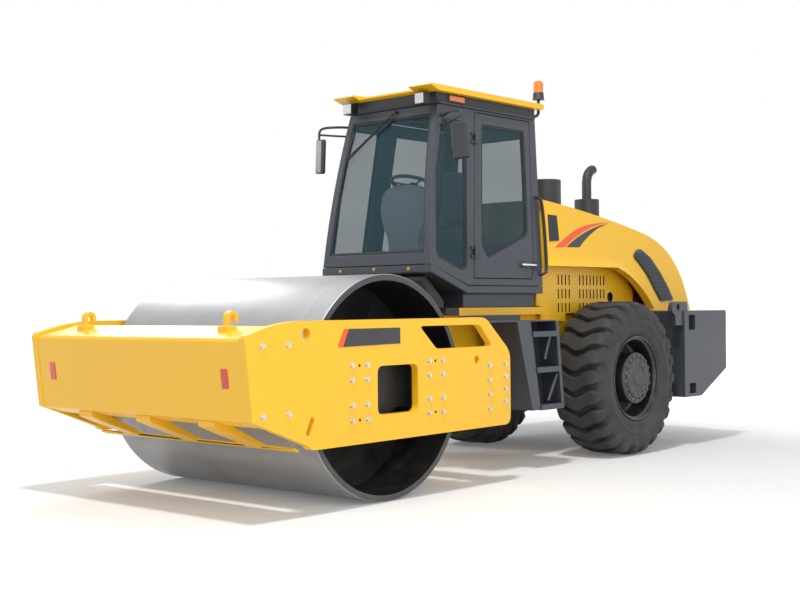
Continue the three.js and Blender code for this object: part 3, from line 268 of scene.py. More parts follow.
def makeDrumSteel():
    # rolled steel: faint rings around the drum and cloudy polish
    material, tree, shader = newMaterial("drumSteel")
    place = addNode(tree, "ShaderNodeTexCoord")
    rings = setInputs(addNode(tree, "ShaderNodeMapping"), {"Scale": (0.6, 160, 0.6)})
    wire(tree, place, "Object", rings, "Vector")
    grain = setInputs(addNode(tree, "ShaderNodeTexNoise"), {"Scale": 1.0, "Detail": 6})
    wire(tree, rings, 0, grain, "Vector")
    cloud = objectNoise(tree, 2.2, 7)
    both = math2(tree, "ADD", math2(tree, "MULTIPLY", grain.outputs["Fac"], 0.35),
                 math2(tree, "MULTIPLY", cloud, 0.65))
    tone = mixColors(tree, ramp(tree, both, 0.35, 0.65), (0.33, 0.34, 0.355, 1), (0.47, 0.48, 0.49, 1))
    tree.links.new(tone, shader.inputs["Base Color"])
    tree.links.new(math2(tree, "ADD", math2(tree, "MULTIPLY", both, 0.22), 0.3), shader.inputs["Roughness"])
    shader.inputs["Metallic"].default_value = 0.75
    addRelief(tree, shader, grain.outputs["Fac"], 0.06)
    return material


def makeTireRubber():
    material, tree, shader = newMaterial("tireRubber")
    skin = setInputs(addNode(tree, "ShaderNodeGroup", node_tree=mottle),
                     {"Color": (0.030, 0.030, 0.031, 1), "Scale": 14, "Drift": 0.5, "Roughness": 0.72})
    dirt = setInputs(addNode(tree, "ShaderNodeGroup", node_tree=dust),
                     {"Dust": (0.17, 0.165, 0.16, 1), "Amount": 0.3, "Top": 1.6})
    wire(tree, skin, "Color", dirt, "Color")
    wire(tree, dirt, "Color", shader, "Base Color")
    wire(tree, skin, "Roughness", shader, "Roughness")
    addRelief(tree, shader, skin.outputs["Height"], 0.25)
    return material


def makeGlass(name, tint, alpha):
    # a thin tinted pane: mostly see-through, with a blue cast and a clean sheen
    material, tree, shader = newMaterial(name)
    film = objectNoise(tree, 1.3, 4)
    setInputs(shader, {"Base Color": (*tint, 1), "Roughness": 0.03, "Coat Weight": 0.1})
    veil = math2(tree, "ADD", math2(tree, "MULTIPLY", film, 0.12), alpha - 0.06)
    tree.links.new(veil, shader.inputs["Alpha"])
    return material


def makeLens(name, color, ribs):
    material, tree, shader = newMaterial(name)
    place = addNode(tree, "ShaderNodeTexCoord")
    wave = setInputs(addNode(tree, "ShaderNodeTexWave", bands_direction="Z"), {"Scale": ribs})
    wire(tree, place, "Object", wave, "Vector")
    tone = mixColors(tree, wave.outputs["Fac"], (*[c * 0.72 for c in color], 1), (*color, 1))
    tree.links.new(tone, shader.inputs["Base Color"])
    setInputs(shader, {"Roughness": 0.12, "Coat Weight": 0.6})
    addRelief(tree, shader, wave.outputs["Fac"], 0.3, 0.002)
    return material


def makeSeatCloth():
    material, tree, shader = newMaterial("seatCloth")
    place = addNode(tree, "ShaderNodeTexCoord")
    weave = setInputs(addNode(tree, "ShaderNodeTexChecker"),
                      {"Scale": 420, "Color1": (0.085, 0.095, 0.11, 1), "Color2": (0.05, 0.056, 0.066, 1)})
    wire(tree, place, "Object", weave, "Vector")
    wire(tree, weave, "Color", shader, "Base Color")
    setInputs(shader, {"Roughness": 0.9, "Sheen Weight": 0.3})
    addRelief(tree, shader, weave.outputs["Fac"], 0.3, 0.0006)
    return material


drumSteel = makeDrumSteel()
tireRubber = makeTireRubber()
cabGlass = makeGlass("cabGlass", (0.004, 0.06, 0.085), 0.33)
amberLens = makeLens("amberLens", (1.0, 0.26, 0.01), 60)
redLens = makeLens("redLens", (0.8, 0.012, 0.012), 90)
clearLens = makeLens("clearLens", (0.66, 0.68, 0.70), 130)
mirrorFace = finishMaterial("mirrorFace", (0.85, 0.87, 0.88), 0.04, metallic=1.0, drift=0.02, dustAmount=0.0)
seatCloth = makeSeatCloth()
print("materials made:", len(bpy.data.materials))


def fromBmesh(name, bm, material, smooth=True, angle=32):
    bmesh.ops.recalc_face_normals(bm, faces=bm.faces)
    mesh = bpy.data.meshes.new(name)
    bm.to_mesh(mesh)
    bm.free()
    piece = bpy.data.objects.new(name, mesh)
    collection.objects.link(piece)
    mesh.materials.append(material)
    if smooth:
        shadeSmooth(piece, angle)
    return piece


def shadeSmooth(piece, angle):
    mesh = piece.data
    for polygon in mesh.polygons:
        polygon.use_smooth = True
    mesh.set_sharp_from_angle(angle=math.radians(angle))


def applyModifiers(piece):
    depsgraph = bpy.context.evaluated_depsgraph_get()
    mesh = bpy.data.meshes.new_from_object(piece.evaluated_get(depsgraph))
    piece.modifiers.clear()
    old = piece.data
    piece.data = mesh
    bpy.data.meshes.remove(old)


def bevelPiece(piece, width, segments=2, angle=32):
    bevel = piece.modifiers.new("bevel", "BEVEL")
    bevel.width = width
    bevel.segments = segments
    bevel.limit_method = "ANGLE"
    bevel.angle_limit = math.radians(angle)
    bevel.use_clamp_overlap = True
    even = piece.modifiers.new("even", "WEIGHTED_NORMAL")
    even.keep_sharp = True
    applyModifiers(piece)


def weldedCopy(node):
    bm = bmesh.new()
    bm.from_mesh(nodes[node].data)
    bmesh.ops.remove_doubles(bm, verts=bm.verts, dist=0.00005)
    return bm


def joinFlat(bm, angle=0.6):
    bmesh.ops.dissolve_limit(bm, angle_limit=math.radians(angle), verts=bm.verts, edges=bm.edges)


def softCopy(node, material, width=0.003, angle=32, name=None):
    # the node's own shape with its loose triangles joined and its edges eased
    bm = weldedCopy(node)
    joinFlat(bm)
    piece = fromBmesh(name or node + "_skin", bm, material, smooth=True, angle=angle)
    if width > 0:
        bevelPiece(piece, width, 2, angle)
    return piece


def bodyOf(node):
    for body, names in frame["record"]["behaviour"]["bodies"].items():
        if node in names:
            return body
    return "rear_frame"


def slotOf(node):
    for part in frame["record"]["subparts"]:
        if part["node"] == node:
            return part["material_slot"]


def standFor(piece, *names, slot=None):
    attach(piece, bodyOf(names[0]))
    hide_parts(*names)
    slot or slotOf(names[0])
    return piece


def trim(piece, body):
    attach(piece, body)
    return piece


def splitAt(bm, place, axis):
    whole = bm.verts[:] + bm.edges[:] + bm.faces[:]
    return bmesh.ops.bisect_plane(bm, geom=whole, plane_co=place, plane_no=axis)


def addBox(bm, low, high):
    corners = [bm.verts.new((x, y, z))
               for x in (low[0], high[0]) for y in (low[1], high[1]) for z in (low[2], high[2])]
    for a, b, c, d in ((0, 1, 3, 2), (4, 6, 7, 5), (0, 4, 5, 1), (2, 3, 7, 6), (0, 2, 6, 4), (1, 5, 7, 3)):
        bm.faces.new([corners[i] for i in (a, b, c, d)])
    return corners


def bridge(bm, a, b):
    for j in range(len(a)):
        k = (j + 1) % len(a)
        bm.faces.new((a[j], a[k], b[k], b[j]))


def addPrism(bm, outline, axis, low, high):
    # an outline of (u, v) points pushed along one axis; u and v are the other two in x, y, z order
    def point(u, v, w):
        values = [u, v]
        values.insert("xyz".index(axis), w)
        return values
    first = [bm.verts.new(point(u, v, low)) for u, v in outline]
    second = [bm.verts.new(point(u, v, high)) for u, v in outline]
    bm.faces.new(first)
    bm.faces.new(list(reversed(second)))
    for i in range(len(outline)):
        j = (i + 1) % len(outline)
        bm.faces.new((first[i], first[j], second[j], second[i]))
    return first + second


def addLathe(bm, profile, centre, axis="y", segments=96, closed=True):
    # profile points are (radius, position along the axis)
    rings = []
    for i in range(segments):
        t = 2 * math.pi * i / segments
        ring = []
        for radius, along in profile:
            u, v = radius * math.cos(t), radius * math.sin(t)
            spot = {"x": (along, u, v), "y": (u, along, v), "z": (u, v, along)}[axis]
            ring.append(bm.verts.new(Vector(spot) + Vector(centre)))
        rings.append(ring)
    count = len(profile)
    last = count if closed else count - 1
    for i in range(segments):
        a, b = rings[i], rings[(i + 1) % segments]
        for j in range(last):
            k = (j + 1) % count
            bm.faces.new((a[j], a[k], b[k], b[j]))
    bmesh.ops.remove_doubles(bm, verts=bm.verts, dist=0.00002)


def smoothPath(points, steps):
    # numbers or vectors on a smooth curve through the points
    path = []
    for i in range(len(points) - 1):
        a, b = points[i], points[i + 1]
        before = points[max(i - 1, 0)]
        after = points[min(i + 2, len(points) - 1)]
        for s in range(steps):
            t = s / steps
            path.append(0.5 * ((2 * a) + (b - before) * t + (2 * before - 5 * a + 4 * b - after) * t * t
                               + (3 * a - before - 3 * b + after) * t ** 3))
    path.append(points[-1])
    return path


def addTube(bm, points, radius, sides=12, steps=8):
    # a round bar that follows a smooth path through the points
    path = smoothPath([Vector(p) for p in points], steps)
    side = None
    rings = []
    for i, spot in enumerate(path):
        ahead = (path[min(i + 1, len(path) - 1)] - path[max(i - 1, 0)]).normalized()
        if side is None:
            side = ahead.orthogonal().normalized()
        side = (side - ahead * side.dot(ahead)).normalized()
        up = ahead.cross(side)
        rings.append([bm.verts.new(spot + side * radius * math.cos(2 * math.pi * k / sides)
                                   + up * radius * math.sin(2 * math.pi * k / sides)) for k in range(sides)])
    for a, b in zip(rings, rings[1:]):
        bridge(bm, a, b)
    bm.faces.new(rings[0])
    bm.faces.new(list(reversed(rings[-1])))


def newTree(name, inputs):
    tree = bpy.data.node_groups.new(name, "GeometryNodeTree")
    tree.interface.new_socket(name="Geometry", in_out="INPUT", socket_type="NodeSocketGeometry")
    for label, kind, value in inputs:
        socket = tree.interface.new_socket(name=label, in_out="INPUT", socket_type=kind)
        if value is not None:
            socket.default_value = value
    tree.interface.new_socket(name="Geometry", in_out="OUTPUT", socket_type="NodeSocketGeometry")
    return tree, addNode(tree, "NodeGroupInput"), addNode(tree, "NodeGroupOutput")


def finishTree(tree, copies, start, end):
    # the copies become real mesh in the piece's material
    real = addNode(tree, "GeometryNodeRealizeInstances")
    tree.links.new(copies, real.inputs["Geometry"])
    dress = addNode(tree, "GeometryNodeSetMaterial")
    wire(tree, real, "Geometry", dress, "Geometry")
    wire(tree, start, "Material", dress, "Material")
    wire(tree, dress, "Geometry", end, "Geometry")
    return tree


def buildRowTree():
    # copies the shape along a step, as slots, slats and ribs are
    tree, start, end = newTree("rowOfCopies", [
        ("Count", "NodeSocketInt", 4), ("Step", "NodeSocketVector", (0, 0, 0)),
        ("Material", "NodeSocketMaterial", None)])
    line = addNode(tree, "GeometryNodeMeshLine")
    wire(tree, start, "Count", line, "Count")
    wire(tree, start, "Step", line, "Offset")
    place = addNode(tree, "GeometryNodeInstanceOnPoints")
    wire(tree, line, "Mesh", place, "Points")
    wire(tree, start, "Geometry", place, "Instance")
    return finishTree(tree, place.outputs["Instances"], start, end)


def buildRingTree():
    # copies the shape round an axle that runs along Y, as lugs, nuts and bolts are
    tree, start, end = newTree("ringOfCopies", [
        ("Count", "NodeSocketInt", 8), ("Centre", "NodeSocketVector", (0, 0, 0)),
        ("Phase", "NodeSocketFloat", 0.0),
        ("Material", "NodeSocketMaterial", None)])
    line = addNode(tree, "GeometryNodeMeshLine")
    wire(tree, start, "Count", line, "Count")
    line.inputs["Offset"].default_value = (0, 0, 0)
    index = addNode(tree, "GeometryNodeInputIndex")
    divide = addNode(tree, "ShaderNodeMath", operation="DIVIDE")
    wire(tree, index, 0, divide, 0)
    wire(tree, start, "Count", divide, 1)
    turns = addNode(tree, "ShaderNodeMath", operation="MULTIPLY_ADD")
    wire(tree, divide, 0, turns, 0)
    turns.inputs[1].default_value = 2 * math.pi
    wire(tree, start, "Phase", turns, 2)
    rotation = addNode(tree, "ShaderNodeCombineXYZ")
    wire(tree, turns, 0, rotation, "Y")
    away = addNode(tree, "ShaderNodeVectorMath", operation="SCALE")
    wire(tree, start, "Centre", away, 0)
    away.inputs["Scale"].default_value = -1
    home = addNode(tree, "GeometryNodeTransform")
    wire(tree, start, "Geometry", home, "Geometry")
    wire(tree, away, 0, home, "Translation")
    place = addNode(tree, "GeometryNodeInstanceOnPoints")
    wire(tree, line, "Mesh", place, "Points")
    wire(tree, home, "Geometry", place, "Instance")
    wire(tree, rotation, 0, place, "Rotation")
    back = addNode(tree, "GeometryNodeTransform")
    wire(tree, place, "Instances", back, "Geometry")
    wire(tree, start, "Centre", back, "Translation")
    return finishTree(tree, back.outputs["Geometry"], start, end)


def buildBoltTree():
    # a hexagon head on a washer at every point of the mesh, turned to face one way
    tree, start, end = newTree("boltsOnPoints", [
        ("Head Radius", "NodeSocketFloat", 0.015), ("Head Height", "NodeSocketFloat", 0.012),
        ("Washer Radius", "NodeSocketFloat", 0.02), ("Rotation", "NodeSocketVector", (0, 0, 0)),
        ("Material", "NodeSocketMaterial", None)])
    head = setInputs(addNode(tree, "GeometryNodeMeshCylinder"), {"Vertices": 6})
    wire(tree, start, "Head Radius", head, "Radius")
    wire(tree, start, "Head Height", head, "Depth")
    lift = addNode(tree, "ShaderNodeMath", operation="MULTIPLY_ADD")
    wire(tree, start, "Head Height", lift, 0)
    lift.inputs[1].default_value = 0.5
    lift.inputs[2].default_value = 0.003
    up = addNode(tree, "ShaderNodeCombineXYZ")
    wire(tree, lift, 0, up, "Z")
    raised = addNode(tree, "GeometryNodeTransform")
    wire(tree, head, "Mesh", raised, "Geometry")
    wire(tree, up, 0, raised, "Translation")
    washer = setInputs(addNode(tree, "GeometryNodeMeshCylinder"), {"Vertices": 20, "Depth": 0.006})
    wire(tree, start, "Washer Radius", washer, "Radius")
    join = addNode(tree, "GeometryNodeJoinGeometry")
    wire(tree, raised, "Geometry", join, "Geometry")
    wire(tree, washer, "Mesh", join, "Geometry")
    place = addNode(tree, "GeometryNodeInstanceOnPoints")
    wire(tree, start, "Geometry", place, "Points")
    wire(tree, join, "Geometry", place, "Instance")
    wire(tree, start, "Rotation", place, "Rotation")
    return finishTree(tree, place.outputs["Instances"], start, end)


rowTree = buildRowTree()
ringTree = buildRingTree()
boltTree = buildBoltTree()


def runTree(piece, tree, values, material):
    modifier = piece.modifiers.new("repeat", "NODES")
    modifier.node_group = tree
    for item in tree.interface.items_tree:
        if item.in_out == "INPUT" and item.name in values:
            modifier[item.identifier] = values[item.name]
        if item.in_out == "INPUT" and item.name == "Material":
            modifier[item.identifier] = material
    piece.update_tag()
    applyModifiers(piece)
    piece.data.materials.clear()
    piece.data.materials.append(material)
    return piece


def bolts(name, points, facing, head, body, material=None):
    # facing is the way the heads point: one of "+x" "-x" "+y" "-y" "+z"
    turn = {"+x": (0, math.pi / 2, 0), "-x": (0, -math.pi / 2, 0), "+y": (-math.pi / 2, 0, 0),
            "-y": (math.pi / 2, 0, 0), "+z": (0, 0, 0)}[facing]
    bm = bmesh.new()
    for point in points:
        bm.verts.new(point)
    piece = fromBmesh(name, bm, material or zincPlate, smooth=False)
    runTree(piece, boltTree, {"Head Radius": head, "Head Height": head * 0.8, "Washer Radius": head * 1.35,
                              "Rotation": turn}, material or zincPlate)
    return trim(piece, body)


def cutWith(piece, cutter):
    # takes the cutter's shape out of the piece, then drops the cutter
    cut = piece.modifiers.new("cut", "BOOLEAN")
    cut.operation = "DIFFERENCE"
    cut.solver = "EXACT"
    cut.object = cutter
    applyModifiers(piece)
    bpy.data.objects.remove(cutter)


def treeOf(piece):
    bm = bmesh.new()
    bm.from_mesh(piece.data)
    found = BVHTree.FromBMesh(bm)
    bm.free()
    return found


def layOn(name, outline, surface, side, material, lift=0.0015, cell=0.03):
    # a thin film cut to an outline in x and z, laid on the flank it faces
    bm = bmesh.new()
    low = [min(p[k] for p in outline) for k in (0, 1)]
    high = [max(p[k] for p in outline) for k in (0, 1)]
    face = bm.faces.new([bm.verts.new((x, 0, z)) for x, z in outline])
    bmesh.ops.triangulate(bm, faces=[face])
    for axis, spot, end in (((1, 0, 0), low[0], high[0]), ((0, 0, 1), low[1], high[1])):
        while spot < end:
            spot += cell
            place = (spot, 0, 0) if axis[0] else (0, 0, spot)
            splitAt(bm, place, axis)
    bmesh.ops.remove_doubles(bm, verts=bm.verts, dist=0.0002)
    for vert in bm.verts:
        hit, _, _, _ = surface.ray_cast(Vector((vert.co.x, side * 2, vert.co.z)), Vector((0, -side, 0)))
        if hit is not None:
            vert.co = hit + Vector((0, side * lift, 0))
    film = bmesh.ops.extrude_face_region(bm, geom=bm.faces[:])
    for vert in [v for v in film["geom"] if isinstance(v, bmesh.types.BMVert)]:
        vert.co.y -= side * (lift + 0.001)
    return fromBmesh(name, bm, material, smooth=True, angle=50)


def paneEdge(node, side):
    # the rim of a pane's outer face in order, each point with the pane's normal there
    bm = weldedCopy(node)
    joinFlat(bm, 0.5)
    outer = {face for face in bm.faces if face.normal.dot(Vector(side)) > 0.75}
    rim = {}
    for edge in bm.edges:
        if sum(face in outer for face in edge.link_faces) == 1:
            for vert, other in (edge.verts, reversed(edge.verts)):
                rim.setdefault(vert, []).append(other)
    start = next(iter(rim))
    loop, last = [start], None
    while True:
        step = [v for v in rim[loop[-1]] if v is not last][0]
        last = loop[-1]
        if step is start:
            break
        loop.append(step)
    points = []
    for vert in loop:
        normal = sum((face.normal for face in vert.link_faces if face in outer), Vector()).normalized()
        points.append((vert.co.copy(), normal))
    bm.free()
    return points


sealLook = {"steps": 7, "innerRound": 0.055, "outerRound": 0.030}


def sealRing(name, points, inward, outward, low, high, material):
    # a rubber ring along a closed rim: inward covers the pane, outward the frame, corners are rounded
    count = len(points)
    centre = sum((spot for spot, _ in points), Vector()) / count
    section = ((-inward, low), (-inward, high * 0.5), (-inward * 0.7, high), (outward * 0.7, high),
               (outward, high * 0.5), (outward, low))
    bm = bmesh.new()
    rings = []
    for i, (spot, normal) in enumerate(points):
        after, before = points[(i + 1) % count][0] - spot, spot - points[i - 1][0]
        ahead, behind = after.normalized(), before.normalized()
        out = (ahead + behind).normalized().cross(normal).normalized()
        if out.dot(spot - centre) < 0:
            out = -out
        out *= 1 / max(0.6, abs(out.dot(ahead.cross(normal).normalized())))
        corner = ahead.angle(behind) > math.radians(25)
        room = 0.45 * min(after.length, before.length)
        for step in range(sealLook["steps"] if corner else 1):
            t = step / (sealLook["steps"] - 1)
            ring = []
            for u, v in section:
                place = spot + out * u + normal * v
                bend = min(room, sealLook["outerRound"] if u > 0 else sealLook["innerRound"])
                if corner:
                    place = ((place - behind * bend) * (1 - t) ** 2 + place * 2 * t * (1 - t)
                             + (place + ahead * bend) * t ** 2)
                ring.append(bm.verts.new(place))
            rings.append(ring)
    for i, a in enumerate(rings):
        b = rings[(i + 1) % len(rings)]
        bridge(bm, a, b)
    return fromBmesh(name, bm, material, smooth=True, angle=50)


print("helpers ready")


# camera: placed by its own position, turn and lens
cameraLook = {"place": (8.43067, 7.07214, 1.36657), "yaw": -2.41444186, "pitch": 0.00541129,
              "roll": -0.00944178, "lens": 56.93}


def makeCamera():
    look = cameraLook
    forward = Vector((math.cos(look["pitch"]) * math.cos(look["yaw"]),
                      math.cos(look["pitch"]) * math.sin(look["yaw"]), math.sin(look["pitch"])))
    right = forward.cross(Vector((0, 0, 1))).normalized()
    up = right.cross(forward)
    across = right * math.cos(look["roll"]) + up * math.sin(look["roll"])
    above = up * math.cos(look["roll"]) - right * math.sin(look["roll"])
    turn = Matrix((across, above, -forward)).transposed().to_4x4()
    data = bpy.data.cameras.new("camera")
    data.lens = look["lens"]
    data.sensor_width = 36
    data.clip_end = 200
    camera = bpy.data.objects.new("camera", data)
    camera.matrix_world = Matrix.Translation(look["place"]) @ turn
    collection.objects.link(camera)
    bpy.context.scene.camera = camera
    return forward, across


def areaLight(name, place, target, size, power, color=(1, 1, 1)):
    data = bpy.data.lights.new(name, "AREA")
    data.energy = power
    data.size = size
    data.color = color
    lamp = bpy.data.objects.new(name, data)
    aim = (Vector(target) - Vector(place)).normalized()
    lamp.matrix_world = Matrix.Translation(place) @ aim.to_track_quat("-Z", "Y").to_matrix().to_4x4()
    collection.objects.link(lamp)


def seenDirectly(tree):
    # 1 for the camera and for what shows in metal and glass, 0 for light on the object
    path = addNode(tree, "ShaderNodeLightPath")
    seen = math2(tree, "MAXIMUM", path.outputs["Is Camera Ray"], path.outputs["Is Glossy Ray"])
    return math2(tree, "MAXIMUM", seen, path.outputs["Is Transmission Ray"])


def makeStudio(forward, across):
    world = bpy.data.worlds.new("studio")
    bpy.context.scene.world = world
    world.use_nodes = True
    tree = world.node_tree
    tree.nodes.clear()
    soft = setInputs(addNode(tree, "ShaderNodeBackground"), {"Color": (0.93, 0.96, 1.0, 1), "Strength": 0.55})
    white = setInputs(addNode(tree, "ShaderNodeBackground"), {"Color": (1, 1, 1, 1)})
    mix = addNode(tree, "ShaderNodeMixShader")
    tree.links.new(seenDirectly(tree), mix.inputs[0])
    wire(tree, soft, 0, mix, 1)
    wire(tree, white, 0, mix, 2)
    out = addNode(tree, "ShaderNodeOutputWorld")
    wire(tree, mix, 0, out, "Surface")
    centre = Vector((0, 0, 1.3))
    key = centre + Vector((4.6, 3.2, 11))
    areaLight("keyLight", key, centre, 1.2, 900, (1, 0.985, 0.95))
    side = Vector((0.9, -3.4, 3.3))
    areaLight("drumGlow", side, (1.9, -1.0, 1.4), 1.6, 60)
    fill = centre - forward * 10 + across * 3 + Vector((0, 0, 3))
    areaLight("fillLight", fill, centre, 6, 260)
    bpy.context.scene.view_settings.view_transform = "Standard"

    bm = bmesh.new()
    bmesh.ops.create_grid(bm, x_segments=1, y_segments=1, size=60)
    floor = fromBmesh("floor", bm, makeFloor(), smooth=False)
    floor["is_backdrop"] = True


def makeFloor():
    material, tree, shader = newMaterial("floor")
    place = addNode(tree, "ShaderNodeTexCoord")
    tone = mixColors(tree, objectNoise(tree, 2, 2), (0.80, 0.80, 0.80, 1), (0.82, 0.82, 0.82, 1))
    tree.links.new(tone, shader.inputs["Base Color"])
    setInputs(shader, {"Roughness": 1.0, "Specular IOR Level": 0.0, "Emission Color": (1, 1, 1, 1)})
    far = addNode(tree, "ShaderNodeVectorMath", operation="LENGTH")
    wire(tree, place, "Object", far, 0)
    glow = math2(tree, "ADD", ramp(tree, far.outputs["Value"], 3.5, 9), 0.1)
    tree.links.new(math2(tree, "MULTIPLY", seenDirectly(tree), glow), shader.inputs["Emission Strength"])
    return material


forward, across = makeCamera()
makeStudio(forward, across)
print("camera and light ready")


# painted steel: every such node is shown as its own shape with eased edges
edges = {"plate": 0.006, "beam": 0.005, "cab": 0.006, "small": 0.0025}
yellowNodes = {
    "front_beam": edges["beam"],
    "rear_beam": edges["beam"], "front_scraper": edges["small"], "rear_scraper": edges["small"],
    "left_ram_barrel": edges["small"], "right_ram_barrel": edges["small"], "rear_chassis": edges["beam"],
    "cab_roof": edges["small"], "hood": edges["cab"], "left_side_panel": 0, "right_side_panel": 0}
greyNodes = {
    "counterweight": edges["plate"], "left_tank": edges["small"], "right_tank": edges["small"],
    "left_steps": edges["small"], "right_steps": edges["small"], "left_cab_side": edges["cab"],
    "right_cab_side": edges["cab"], "cab_front": edges["cab"], "cab_rear": edges["cab"],
    "left_door": edges["small"], "right_door": edges["small"], "cab_floor": edges["cab"]}
blackNodes = {
    "left_drum_mount": edges["small"], "right_drum_mount": edges["small"], "centre_joint": edges["small"],
    "rear_axle": edges["small"], "engine_block": edges["beam"],
    "left_work_lamp": edges["beam"], "right_work_lamp": edges["beam"],
    "left_grab_rail": 0, "right_grab_rail": 0, "front_wiper": 0}
castNodes = {"exhaust_stack": edges["beam"], "air_cleaner": edges["beam"], "cab_ceiling": edges["cab"]}
skins = {}
for table, paint in ((yellowNodes, yellowPaint), (greyNodes, darkPaint), (blackNodes, blackPaint),
                     (castNodes, castBlack)):
    for node, width in table.items():
        skins[node] = standFor(softCopy(node, paint, width), node)
plateFace = max(mount["pos_m"][1] for mount in frame["record"]["mounts"])


def clearPlate(node):
    # the side plate without its corner bolts, which come back in plated steel
    bm = weldedCopy(node)
    proud = [vert for vert in bm.verts if abs(vert.co.y) > plateFace + 0.0005]
    bmesh.ops.delete(bm, geom=proud, context="VERTS")
    bmesh.ops.holes_fill(bm, edges=[edge for edge in bm.edges if edge.is_boundary])
    joinFlat(bm)
    piece = fromBmesh(node + "_skin", bm, yellowPaint)
    bevelPiece(piece, edges["plate"])
    return standFor(piece, node)


for node in ("left_side_plate", "right_side_plate"):
    skins[node] = clearPlate(node)


# the frame's black nose, cab bolts, step rods, latches and tail lamps
frameLook = {"noseBack": 1.455, "noseFoot": 1.295, "cabFoot": 1.048,
             "cabBolts": ((-0.390, 1.671), (-0.005, 1.676), (0.373, 1.672)),
             "rods": (((-2.188, 1.128), (-2.104, 0.918)), ((-2.278, 0.785), (-2.150, 0.571))),
             "latch": ((-4.876, 1.199), (-4.996, 1.199), (-4.996, 1.055), (-4.876, 1.055)),
             "tail": (0.870, 0.700, 1.080, 1.200)}


def darkenNose():
    # what faces the drum under the cab is black, parted from the yellow deck by a straight line
    piece = skins["rear_chassis"]
    edge = drumAxle.x - frameLook["noseBack"]
    bm = bmesh.new()
    bm.from_mesh(piece.data)
    splitAt(bm, (edge, 0, 0), (1, 0, 0))
    bm.to_mesh(piece.data)
    bm.free()
    piece.data.materials.append(blackPaint)
    for polygon in piece.data.polygons:
        ahead = polygon.center.x > edge and polygon.center.z > frameLook["noseFoot"]
        polygon.material_index = 1 if ahead else 0


darkenNose()

for node in ("left_ram_rod", "right_ram_rod"):
    skins[node] = standFor(softCopy(node, chromeRod, 0), node)
for node in nodes:
    if "window" in node or node == "windshield":
        skins[node] = standFor(softCopy(node, cabGlass, 0, angle=20), node)
print("painted steel and glass done")


sides = (("left", 1), ("right", -1))


# the drum: one smooth shell with eased lips, and the webs inside it
drumLook = {"segments": 160, "shell": 0.045, "lip": 0.005}


def makeDrum():
    radius, half = (drumHi[2] - drumLo[2]) / 2, drumHi[1]
    inner, lip = radius - drumLook["shell"], drumLook["lip"]
    bm = bmesh.new()
    addLathe(bm, [(inner, -half), (radius - lip, -half), (radius, lip - half), (radius, half - lip),
                  (radius - lip, half), (inner, half)], drumAxle, segments=drumLook["segments"])
    shell = fromBmesh("drum_shell", bm, drumSteel, angle=30)
    shell.data.materials.append(blackPaint)
    shell.data.materials.append(drumEdge)
    for polygon in shell.data.polygons:
        away = Vector((polygon.center.x - drumAxle.x, 0, polygon.center.z - drumAxle.z))
        inward = polygon.normal.dot(away) < -0.1
        endFace = abs(polygon.normal.y) > 0.9
        polygon.material_index = 1 if inward else 2 if endFace else 0
    standFor(shell, "drum")
    bm = weldedCopy("drum")

    def reach(vert):
        return math.hypot(vert.co.x - drumAxle.x, vert.co.z - drumAxle.z)
    outer = [face for face in bm.faces if min(reach(v) for v in face.verts) > inner - 0.012]
    bmesh.ops.delete(bm, geom=outer, context="FACES")
    standFor(fromBmesh("drum_webs", bm, blackPaint, angle=30), "drum")


makeDrum()


# tires: a lathed carcass with a ring of wavy block lugs
tireLook = {"lugs": 24, "segments": 120, "lugWidth": 0.082, "lugFoot": 0.108, "wave": 0.10, "ease": 0.005,
            "reaches": (0.03, 0.07, 0.11, 0.15, 0.185, 0.21, 0.236, 0.25, 0.2575), "bendReach": 0.165,
            "footRadius": 0.636, "shoulder": 0.2, "shoulderFall": 1.3,
            "taper": 0.42, "taperFrom": 0.19, "taperRun": 0.0675}
carcass = [(0.3853, 0.196), (0.389, 0.222), (0.404, 0.236), (0.43, 0.243), (0.462, 0.248), (0.490, 0.2515),
           (0.496, 0.2555), (0.504, 0.2555), (0.510, 0.2525), (0.548, 0.2545), (0.588, 0.250), (0.618, 0.240),
           (0.634, 0.222), (0.643, 0.190), (0.646, 0.11), (0.647, 0.0)]


def crownRadius(reach):
    # the lugs' outer radius at a distance from the tire's middle plane
    steps = ((0.0, 0.700), (0.15, 0.698), (0.195, 0.692), (0.222, 0.679), (0.246, 0.650), (0.2575, 0.604))
    for (a, ra), (b, rb) in zip(steps, steps[1:]):
        if reach <= b:
            return ra + (rb - ra) * (reach - a) / (b - a)
    return steps[-1][1]


